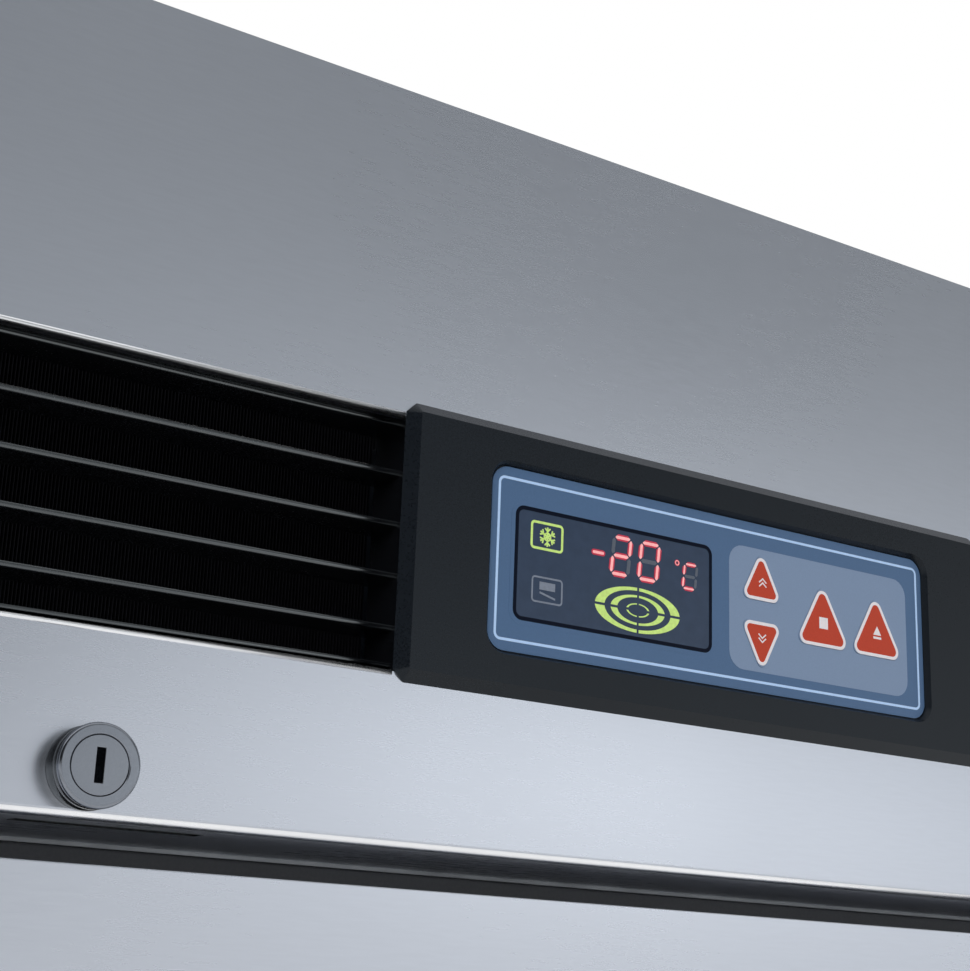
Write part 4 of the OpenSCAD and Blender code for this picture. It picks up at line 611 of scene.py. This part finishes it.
RIM = 0.45    # width of the dark rim inside the slot
left, right, near, far = lock_x - 13.45, lock_x + 39.25, front_y + 11.93, front_y + 18.27
low, high = fascia_lo.z - 0.1, fascia_lo.z + 2.2
shape = bmesh.new()
for x0, x1, y0, y1 in ((left, right, near, near + RIM), (left, right, far - RIM, far),
                       (left, left + RIM, near, far), (right - RIM, right, near, far)):
    box(shape, (x0, y0, low), (x1, y1, high))
piece("slot_liner", shape, "cabinet", "black_plastic", louvre_black)


# Small parts used in several places

def heads(name, places, axis, r, body):
    """Button heads with a socket, on the face that the axis points out of."""
    shape = bmesh.new()
    tall = 0.55 * r
    for place in places:
        lathe(shape, [(0, -0.5), (r, -0.5), (r, 0.3 * tall), (0.8 * r, 0.8 * tall), (0.5 * r, tall),
                      (0.42 * r, 0.9 * tall), (0.4 * r, 0.3 * tall), (0, 0.25 * tall)], place, axis, 18)
    return piece(name, shape, body, "zinc")


def hexes(name, places, axis, r, tall, body):
    """Hexagon heads with a broken upper edge on a washer."""
    shape = bmesh.new()
    for place in places:
        lathe(shape, [(0, -0.3), (1.25 * r, -0.3), (1.25 * r, 1.0), (0, 1.0)], place, axis, 24)
        start, up = Vector(place), Vector(axis)
        rod(shape, start + up * 0.9, start + up * (tall - 0.8), r, 6)
        rod(shape, start + up * (tall - 0.9), start + up * tall, r, 6, 0.84 * r)
    return piece(name, shape, body, "zinc")


def fan(node, body, hub_r):
    """A moulded fan: a capped hub and five twisted, swept blades about the Y axis."""
    lo, hi = span(node)
    middle, reach, deep = (lo + hi) / 2, (hi.z - lo.z) / 2, hi.y - lo.y
    shape = bmesh.new()
    bmesh.ops.create_grid(shape, x_segments=12, y_segments=8, size=0.5)
    for v in shape.verts:
        out, along = v.co.x + 0.5, v.co.y
        r = hub_r - 1 + (reach - hub_r + 0.4) * out
        angle = along * math.radians(58 - 6 * out) + math.radians(14) * out * out
        rise = -along * deep * (0.86 - 0.16 * out) + 1.6 * (1 - 4 * along * along)
        v.co = (r * math.cos(angle), rise, r * math.sin(angle))
    bmesh.ops.solidify(shape, geom=list(shape.faces), thickness=1.4)
    bmesh.ops.spin(shape, geom=list(shape.verts) + list(shape.edges) + list(shape.faces), cent=(0, 0, 0),
                   axis=(0, 1, 0), angle=FULL * 4 / 5, steps=4, use_duplicate=True)
    cap = [(0, 1.5), (hub_r - 4, 1.5), (hub_r - 4, 0.9), (hub_r - 2, 0.2), (hub_r - 0.5, 1.4), (hub_r, 3.0)]
    skirt = [(hub_r, deep), (hub_r - 2, deep), (hub_r - 2, 5)]
    boss = [(6.5, 5), (6.5, deep), (4.05, deep), (4.05, 4), (0, 4)]
    lathe(shape, cap + skirt + boss, (0, -deep / 2, 0), (0, 1, 0), 48)
    bmesh.ops.translate(shape, vec=middle, verts=shape.verts)
    piece(node + "_wheel", shape, body, "black_plastic", stands_for=[node])


HAIRPIN = 6    # how far a coil's bends reach past its tubes


def coil(name, lo, hi, rows, columns, r, fins, slot, mat=None, feet=0.0):
    """A block of thin fins on hairpin tubes that run along X, between two end plates."""
    shape = bmesh.new()
    pitch = (hi.x - lo.x) / fins
    for number in range(fins + 1):
        x, half = lo.x + number * pitch, 0.6 if number in (0, fins) else 0.15
        x = min(max(x, lo.x + half), hi.x - half)
        low = lo.z - feet if number in (0, fins) else lo.z
        box(shape, (x - half, lo.y, low), (x + half, hi.y, hi.z))
    piece(name + "_fins", shape, "cabinet", slot, mat, [name + "_coil"])
    rise, across = (hi.z - lo.z) / rows, (hi.y - lo.y) / columns
    lines = []
    for c in range(columns):
        for k in range(rows):
            y, z = lo.y + (c + 0.5) * across, lo.z + (k + 0.5) * rise
            lines.append(([(lo.x - 2, y, z), (hi.x + 2, y, z)], r))
            if k + 1 < rows:
                x, way = (hi.x + 2, 1) if (k + c) % 2 else (lo.x - 2, -1)
                turn = [(x + way * HAIRPIN * math.sin(a), y, z + rise / 2 * (1 - math.cos(a)))
                        for a in (math.pi * i / 10 for i in range(11))]
                lines.append((turn, r * 1.04))
    tubes(name + "_tubes", lines, "cabinet", "copper", mat)


# Door: folded gasket, and screws on the hinge brackets

gasket_lo, gasket_hi = span("door_gasket")
half = 11.0    # half the gasket's width
y0, y1 = gasket_lo.y, gasket_hi.y
folds = [(-5, y0), (-5, y0 + 1.2), (-3, y0 + 2.2), (-6.4, y0 + 3.6), (-4.2, y0 + 5.0), (-10.4, y0 + 6.2),
         (-half, y0 + 6.9), (-half, y1 - 1.2), (-10, y1)]
shape = bmesh.new()
frame_sweep(shape, (gasket_lo.x + half, gasket_lo.z + half), (gasket_hi.x - half, gasket_hi.z - half),
            folds + [(-out, y) for out, y in reversed(folds)])
piece("gasket_folds", shape, "door", "gasket_grey", stands_for=["door_gasket"])

hinge_lo, hinge_hi = span("hinge_brackets")
leg_face = hinge_hi.y - 3
heads("hinge_screws", [(x, leg_face, z) for x in (hinge_hi.x - 22, hinge_hi.x - 8)
                       for z in (hinge_hi.z - 13, hinge_lo.z + 13)], (0, -1, 0), 4.0, "cabinet")


# Interior: wire shelves, evaporator unit

shelf_lo, shelf_hi = span("wire_shelves")
SHELF_PITCH, CROSS_WIRES = 350, 19
RIM_R, SPINE_R, WIRE_R = 4.0, 3.0, 2.0
left, right, near, far = shelf_lo.x + RIM_R, shelf_hi.x - RIM_R, shelf_lo.y + RIM_R, shelf_hi.y - RIM_R
wires = []
for number in range(3):
    z = shelf_lo.z + SHELF_PITCH * number + RIM_R
    wires.append((bends([(0, near, z), (right, near, z), (right, far, z), (left, far, z), (left, near, z),
                         (0, near, z)], 12), RIM_R))
    wires.append(([(left, (near + far) / 2, z), (right, (near + far) / 2, z)], SPINE_R))
    for wire in range(CROSS_WIRES):
        x = left + 4 + (right - left - 8) * wire / (CROSS_WIRES - 1)
        wires.append(([(x, near - 2, z + 5.2), (x, far + 2, z + 5.2)], WIRE_R))
tubes("shelf_wires", wires, "cabinet", "shelf_wire", stands_for=["wire_shelves"])

COIL_END = 10    # from a coil's end plate to the end of its CAD node
coil_lo, coil_hi = span("evaporator_coil")
coil("evaporator", coil_lo + Vector((COIL_END, 0, 0)), coil_hi - Vector((COIL_END, 0, 12)),
     3, 4, 4.5, 96, "fins")
shape = bmesh.new()
for x in (16 - coil_hi.x, coil_hi.x - 16):
    box(shape, (x - 2, coil_lo.y + 8, coil_hi.z - 14), (x + 2, coil_hi.y - 8, coil_hi.z), 0.4)
piece("evaporator_straps", shape, "cabinet", "zinc")
fan("evaporator_fan", "evaporator_wheel", 16)
cover_lo, cover_hi = span("evaporator_cover")
heads("evaporator_screws", [(x, cover_lo.y, z) for x in (cover_lo.x + 14, cover_hi.x - 14)
                            for z in (cover_lo.z + 14, cover_hi.z - 14)], (0, -1, 0), 3.5, "cabinet")


# Machine compartment on the roof

deck_z = fascia_lo.z
COIL_FEET, COIL_ROWS = 4.0, 7
cond_lo, cond_hi = span("condenser_coil")
coil("condenser", cond_lo + Vector((COIL_END, 0, COIL_FEET)), cond_hi - Vector((COIL_END, 0, 0)),
     COIL_ROWS, 2, 4.0, 236, "dark_steel", coil_black, COIL_FEET)
fan("condenser_fan", "condenser_wheel", 16)
fan_lo, fan_hi = span("condenser_fan")
fan_c = (fan_lo + fan_hi) / 2


def round_fan(r, angle, gap):
    """A point about the condenser fan's axis, at this gap behind the fan."""
    return fan_c.x + r * math.cos(angle), fan_hi.y + gap, fan_c.z + r * math.sin(angle)


guard = [([round_fan(r, FULL * i / 48, 4) for i in range(49)], 1.3) for r in (30, 44, 58, 72, 86)]
guard += [([round_fan(r, FULL * (number + 0.5) / 4, 6) for r in (26, 88)], 1.6) for number in range(4)]
tubes("fan_guard", guard, "cabinet", "dark_steel")

comp_x, comp_y = 170.0, 60.0         # axis of the compressor's can
can_z = deck_z + 12 + 92.5           # its middle, above the grommets
SEAM = [(76, -7), (78.6, -6), (79.4, -3.5), (79.4, 3.5), (78.6, 6), (76, 7)]
GROMMET = [(4, 0.2), (12.4, 0.2), (13, 2), (11, 4), (10.4, 6), (11, 8), (13, 10), (12.4, 11.8), (4, 11.8)]
shape = bmesh.new()
lathe(shape, SEAM, (comp_x, comp_y, can_z + 12), (0, 0, 1), 96)
piece("compressor_seam", shape, "cabinet", "dark_steel")
shape = bmesh.new()
box(shape, (comp_x + 24, comp_y - 92, can_z - 36), (comp_x + 72, comp_y - 56, can_z + 14), 4.0, 3)
piece("terminal_cover", shape, "cabinet", "black_plastic")
feet = [(comp_x + sx * 52, comp_y + sy * 58) for sx in (-1, 1) for sy in (-1, 1)]
hexes("compressor_bolts", [(x, y, deck_z + 16) for x, y in feet], (0, 0, 1), 6.0, 6.0, "cabinet")
shape = bmesh.new()
for x, y in feet:
    lathe(shape, GROMMET, (x, y, deck_z), (0, 0, 1), 32)
piece("compressor_grommets", shape, "cabinet", "gasket_grey")

# Refrigerant lines, each with its radius and that of its bends: the suction line and the liquid line run
# from the evaporator through the roof, the hot line from the compressor to the condenser
CAN_PORT = 78    # from the can's axis to where a line meets it
suction_x, liquid_x, drier_x, elbow_x, hot_x = 201, 217, 10, 150, 54
port_y, port_z = coil_hi.y, coil_hi.z - 40
rise_y, liquid_y = port_y + 35, port_y + 55
row = (cond_hi.z - cond_lo.z - COIL_FEET) / COIL_ROWS
low_row, high_row = (cond_lo.z + COIL_FEET + row * share for share in (0.5, COIL_ROWS - 1.5))
coil_x, coil_y = cond_hi.x - 2, cond_lo.y + (cond_hi.y - cond_lo.y) / 4
suction_z, hot_z = deck_z + 60, deck_z + 110
lines = [([(suction_x, port_y, port_z), (suction_x, rise_y, port_z), (suction_x, rise_y, suction_z),
           (elbow_x, rise_y, suction_z), (elbow_x, comp_y + CAN_PORT, suction_z)], 5.0, 16),
         ([(comp_x - CAN_PORT, comp_y, hot_z), (hot_x, comp_y, hot_z), (hot_x, coil_y, hot_z),
           (hot_x, coil_y, high_row), (coil_x, coil_y, high_row)], 3.0, 14),
         ([(coil_x, coil_y, low_row), (drier_x, coil_y, low_row), (drier_x, liquid_y, low_row),
           (liquid_x, liquid_y, low_row), (liquid_x, rise_y, low_row), (liquid_x, rise_y, port_z),
           (liquid_x, port_y, port_z)], 3.0, 9)]
tubes("refrigerant_tubes", [(bends(points, turn), r) for points, r, turn in lines], "cabinet", "copper",
      stands_for=["refrigerant_lines"], sides=4)
DRIER = [(0, 0), (4, 0), (4.5, 6), (9, 12), (13.4, 18), (14, 22)]
DRIER_L = 110
shape = bmesh.new()
lathe(shape, DRIER + [(r, DRIER_L - h) for r, h in reversed(DRIER)], (drier_x, comp_y, low_row),
      (0, 1, 0), 40)
piece("drier", shape, "cabinet", "copper")
tubes("suction_sleeve", [(bends([(suction_x, rise_y, deck_z + 8), (suction_x, rise_y, suction_z),
                                 (elbow_x, rise_y, suction_z), (elbow_x, 165, suction_z)], 18), 9.0)],
      "cabinet", "gasket_grey", sides=5)

# Electrical box with its lid and the mains inlet
ebox_lo, ebox_hi = span("electrical_box")
LID = 1.5    # thickness of the lid
shape = bmesh.new()
box(shape, (ebox_lo.x - LID, ebox_lo.y - LID, ebox_hi.z - 14), tuple(v + LID for v in ebox_hi), 1.2)
piece("box_lid", shape, "cabinet", "galvanised")
heads("box_screws", [(x, y, ebox_hi.z + LID) for x in (ebox_lo.x + 9, ebox_hi.x - 9)
                     for y in (ebox_lo.y + 9, ebox_hi.y - 9)], (0, 0, 1), 3.5, "cabinet")
inlet = Vector((ebox_lo.x + 54, ebox_hi.y, deck_z + 60))
shape = bmesh.new()
band(shape, rounded(inlet.x, inlet.z, 48, 27, 4), rounded(inlet.x, inlet.z, 28, 20, 0.6),
     inlet.y - 0.2, inlet.y + 2.0)
piece("inlet_flange", shape, "cabinet", "black_plastic")
shape = bmesh.new()
for x, z in ((-7, -2), (7, -2), (0, 3)):
    box(shape, inlet + Vector((x - 1, -18, z - 2)), inlet + Vector((x + 1, -3, z + 2)), 0.4)
piece("inlet_pins", shape, "cabinet", "zinc")

# Wiring over the deck, as X, Y, height above the deck: to the control panel, the fan and the compressor
box_y = ebox_lo.y + 2
LOOMS = [([(-250, box_y, 10), (-250, 255, 4), (-341, 235, 4), (-341, -315, 4), (-120, -330, 4),
           (-90, -340, 55), (-90, -368, 70)], 3.5),
         ([(-230, box_y, 12), (-230, 250, 4), (-60, 230, 4), (-60, -60, 4), (-150, -120, 4),
           (-165, -146, 80)], 2.5),
         ([(-225, box_y, 22), (-220, 262, 4), (-40, 240, 4), (-40, -50, 4), (215, -50, 4),
           (218, -40, 60), (218, -30, 78)], 3.0)]
tubes("wiring", [(bends([(x, y, deck_z + h) for x, y, h in points], 18), r) for points, r in LOOMS],
      "cabinet", "gasket_grey")


# Casters: tyre and hub from half profiles of (radius, distance from the wheel's middle), plate bolts,
# grip ribs on the pedals

TYRE = [(37.6, 13), (43.5, 15.6), (47, 15.2), (49.2, 13), (49.98, 9)]
HUB = [(6.1, 17.6), (13, 17.6), (14, 16.6), (14, 8), (33, 8), (35, 12.6), (38, 13)]
for corner in (end + "_" + side for end in ("front", "rear") for side in ("left", "right")):
    lo, hi = span("wheel_" + corner)
    middle = (lo + hi) / 2
    shape = bmesh.new()
    lathe(shape, [(r, -x) for r, x in TYRE] + TYRE[::-1], middle, (1, 0, 0), 72)
    piece("tyre_" + corner, shape, "roller_" + corner, "wheel_grey", stands_for=["wheel_" + corner])
    shape = bmesh.new()
    lathe(shape, [(r, -x) for r, x in HUB] + HUB[::-1], middle, (1, 0, 0), 72)
    for number in range(8):
        for x in (-9.5, 9.5):
            spoke = bmesh.ops.create_cube(shape, size=1)["verts"]
            turn = Matrix.Translation(middle) @ Matrix.Rotation(FULL * number / 8, 4, "X")
            bmesh.ops.transform(shape, verts=spoke, matrix=turn @ Matrix.Translation((x, 24, 0))
                                @ Matrix.Diagonal((4, 22, 2, 1)))
    piece("hub_" + corner, shape, "roller_" + corner, "frame_grey")

plate_lo, plate_hi = span("caster_plates")
corners = [(cx + dx, cy + dy) for cx in (plate_lo.x + 42, plate_hi.x - 42)
           for cy in (plate_lo.y + 42, plate_hi.y - 42) for dx in (-32, 32) for dy in (-32, 32)]
hexes("caster_bolts", [(x, y, plate_hi.z - 4) for x, y in corners], (0, 0, -1), 5.5, 4.5, "cabinet")
RIB_LOW, RIB_HIGH = 106.3, 107.3    # heights of the ribs on a pedal's tread
for side in ("left", "right"):
    lo, hi = span("pedal_" + side)
    shape = bmesh.new()
    for number in range(5):
        y = lo.y + 4 + 4.4 * number
        box(shape, (lo.x + 4, y - 0.8, RIB_LOW), (hi.x - 4, y + 0.8, RIB_HIGH), 0.3)
    piece("pedal_ribs_" + side, shape, "brake_" + side, "pedal_red")


# Studio, in metres: pale floor, white surroundings, soft lamps and the camera

def set_up(name, bm, mat):
    """Makes a part of the studio of the shape in bm."""
    mesh = bpy.data.meshes.new(name)
    bm.to_mesh(mesh)
    bm.free()
    obj = bpy.data.objects.new(name, mesh)
    bpy.context.scene.collection.objects.link(obj)
    mesh.materials.append(mat)
    return obj


def plane(centre, size, turn=Matrix()):
    """A flat sheet of this size about its centre."""
    bm = bmesh.new()
    bmesh.ops.create_grid(bm, x_segments=1, y_segments=1, size=0.5)
    bmesh.ops.transform(bm, matrix=Matrix.Translation(centre) @ turn @ Matrix.Diagonal((*size, 1, 1)),
                        verts=bm.verts)
    return bm


def shown(tree):
    """1 for rays from the camera, off gloss and through glass, 0 for the light that falls on the object."""
    rays = add_node(tree, "LightPath").outputs
    return added(tree, added(tree, rays["Is Camera Ray"], rays["Is Glossy Ray"]), rays["Is Transmission Ray"])


floor_mat = finish("pale floor", (0.42, 0.42, 0.42), 0.7, 0.0, 20, 0.01, 0.03, 0.02)
tree = floor_mat.node_tree
lift = add_node(tree, "MapRange", To_Max=0.5)
tree.links.new(shown(tree), lift.inputs["Value"])
floor_shader = tree.nodes["Principled BSDF"]
floor_shader.inputs["Emission Color"].default_value = (1, 1, 1, 1)
tree.links.new(lift.outputs["Result"], floor_shader.inputs["Emission Strength"])
set_up("studio_floor", plane((0, 0, 0), (60, 60)), floor_mat)

MIX_A, MIX_B, MIX_OUT = 6, 7, 2    # numbers of a Mix node's colour sockets
SIDES = (-3.0, 6.0)                # X of the ends of the ramps along the card
LOWER, UPPER = 2.6, 3.3            # heights between which the lower ramp gives way to the upper one


def reflector_mat(name, low, high, levels, strength, sides=None):
    """Light that only gloss shows: levels by height, and by X where sides are given, above and below."""
    mat = bpy.data.materials.new(name)
    mat.use_nodes = True
    tree, links = mat.node_tree, mat.node_tree.links
    tree.nodes.remove(tree.nodes["Principled BSDF"])
    split = add_node(tree, "SeparateXYZ")
    links.new(add_node(tree, "TexCoord").outputs["Object"], split.inputs["Vector"])

    def ramp(axis, start, end, stops):
        spread = add_node(tree, "MapRange", From_Min=start, From_Max=end)
        links.new(split.outputs[axis], spread.inputs["Value"])
        made = add_node(tree, "ValToRGB")
        elements = made.color_ramp.elements
        for place, level in stops:
            tint = 0.03 - 0.02 * level
            stop = elements.new((place - start) / (end - start))
            stop.color = ((1 - tint) * level, level, min(1.0, (1 + tint) * level), 1)
        elements.remove(elements[-1])
        elements.remove(elements[0])
        links.new(spread.outputs["Result"], made.inputs["Fac"])
        return made.outputs["Color"]

    colour = ramp("Z", low, high, levels)
    if sides:
        lower = add_node(tree, "MapRange", From_Min=UPPER, From_Max=LOWER)
        links.new(split.outputs["Z"], lower.inputs["Value"])
        blend = add_node(tree, "Mix")
        blend.data_type = "RGBA"
        links.new(lower.outputs["Result"], blend.inputs["Factor"])
        links.new(ramp("X", *SIDES, sides[0]), blend.inputs[MIX_A])
        links.new(ramp("X", *SIDES, sides[1]), blend.inputs[MIX_B])
        times = add_node(tree, "Mix", Factor=1.0)
        times.data_type = "RGBA"
        times.blend_type = "MULTIPLY"
        links.new(colour, times.inputs[MIX_A])
        links.new(blend.outputs[MIX_OUT], times.inputs[MIX_B])
        colour = times.outputs[MIX_OUT]
    lit = add_node(tree, "Emission", Strength=strength)
    links.new(colour, lit.inputs["Color"])
    links.new(lit.outputs["Emission"], tree.nodes["Material Output"].inputs["Surface"])
    return mat


CARD_LOW, CARD_HIGH = 2.2, 6.5
card = reflector_mat("grey card", CARD_LOW, CARD_HIGH,
                     ((2.2, 1.0), (2.45, 0.54), (2.8, 0.26), (3.25, 0.188), (3.6, 0.106), (4.8, 0.092)),
                     2.9, (((-1.5, 0.08), (-0.4, 0.9), (0.4, 1.0)),
                           ((-1.5, 0.02), (-0.6, 0.07), (0.4, 0.17), (1.65, 0.76), (2.4, 1.0), (3.3, 0.77),
                            (4.9, 0.50))))
WALL_R, WALL_H = 12.0, 10.0
wall = reflector_mat("grey walls", 0.0, WALL_H,
                     ((0.1, 0.95), (1.2, 0.80), (3.0, 0.62), (6.0, 0.46), (9.5, 0.38)), 1.0)
walls = bmesh.new()
bmesh.ops.create_cone(walls, cap_ends=False, segments=64, radius1=WALL_R, radius2=WALL_R, depth=WALL_H,
                      matrix=Matrix.Translation((0, 0, WALL_H / 2)))
upright_card = plane((-1.5, -3.6, (CARD_LOW + CARD_HIGH) / 2), (19, CARD_HIGH - CARD_LOW),
                     Matrix.Rotation(math.radians(90), 4, "X"))
for reflector in (set_up("studio_walls", walls, wall), set_up("studio_card", upright_card, card)):
    reflector.visible_camera = False
    reflector.visible_diffuse = False
    reflector.visible_shadow = False
    reflector.visible_transmission = False

world = bpy.data.worlds.new("studio")
bpy.context.scene.world = world
world.use_nodes = True
sky = world.node_tree
background = sky.nodes["Background"]
level = add_node(sky, "MapRange", To_Min=0.42, To_Max=1.0)
sky.links.new(shown(sky), level.inputs["Value"])
sky.links.new(level.outputs["Result"], background.inputs["Strength"])
background.inputs["Color"].default_value = (1, 1, 1, 1)


def lamp(name, place, target, size, power):
    """A soft square lamp, its power in watts."""
    light = bpy.data.lights.new(name, "AREA")
    light.size = size
    light.energy = power
    obj = bpy.data.objects.new(name, light)
    bpy.context.scene.collection.objects.link(obj)
    obj.location = place
    obj.rotation_euler = (Vector(target) - Vector(place)).to_track_quat("-Z", "Y").to_euler()
    obj.visible_glossy = False


lamp("key lamp", (-2.6, -3.2, 3.4), (0, 0, 1.1), 2.2, 90)
lamp("fill lamp", (3.2, -2.4, 2.0), (0, 0, 1.0), 2.6, 45)
lamp("back lamp", (0.5, 3.4, 3.0), (0, 0, 1.2), 2.4, 70)

EYE = Vector((-371.17, -834.21, 1829.81))    # the camera's place, in millimetres
YAW, PITCH, ROLL = (math.radians(a) for a in (-32.498, -16.606, 2.235))
FOCAL, PHOTO_H = 1742.1, 971                 # focal length and the photograph's height, in its pixels
turn = (Matrix.Rotation(ROLL, 3, "Z") @ Matrix.Rotation(PITCH, 3, "X") @ Matrix.Rotation(YAW, 3, "Y")
        @ Matrix(((1, 0, 0), (0, 0, -1), (0, 1, 0))))
view = bpy.data.cameras.new("camera")
view.lens = FOCAL * view.sensor_width / PHOTO_H
view.clip_start = 0.01
camera = bpy.data.objects.new("camera", view)
bpy.context.scene.collection.objects.link(camera)
facing = Matrix((turn[0], -turn[1], -turn[2])).transposed().to_4x4()
camera.matrix_world = Matrix.Translation(EYE * MM) @ facing
bpy.context.scene.camera = camera

bpy.context.scene.view_settings.view_transform = "Standard"
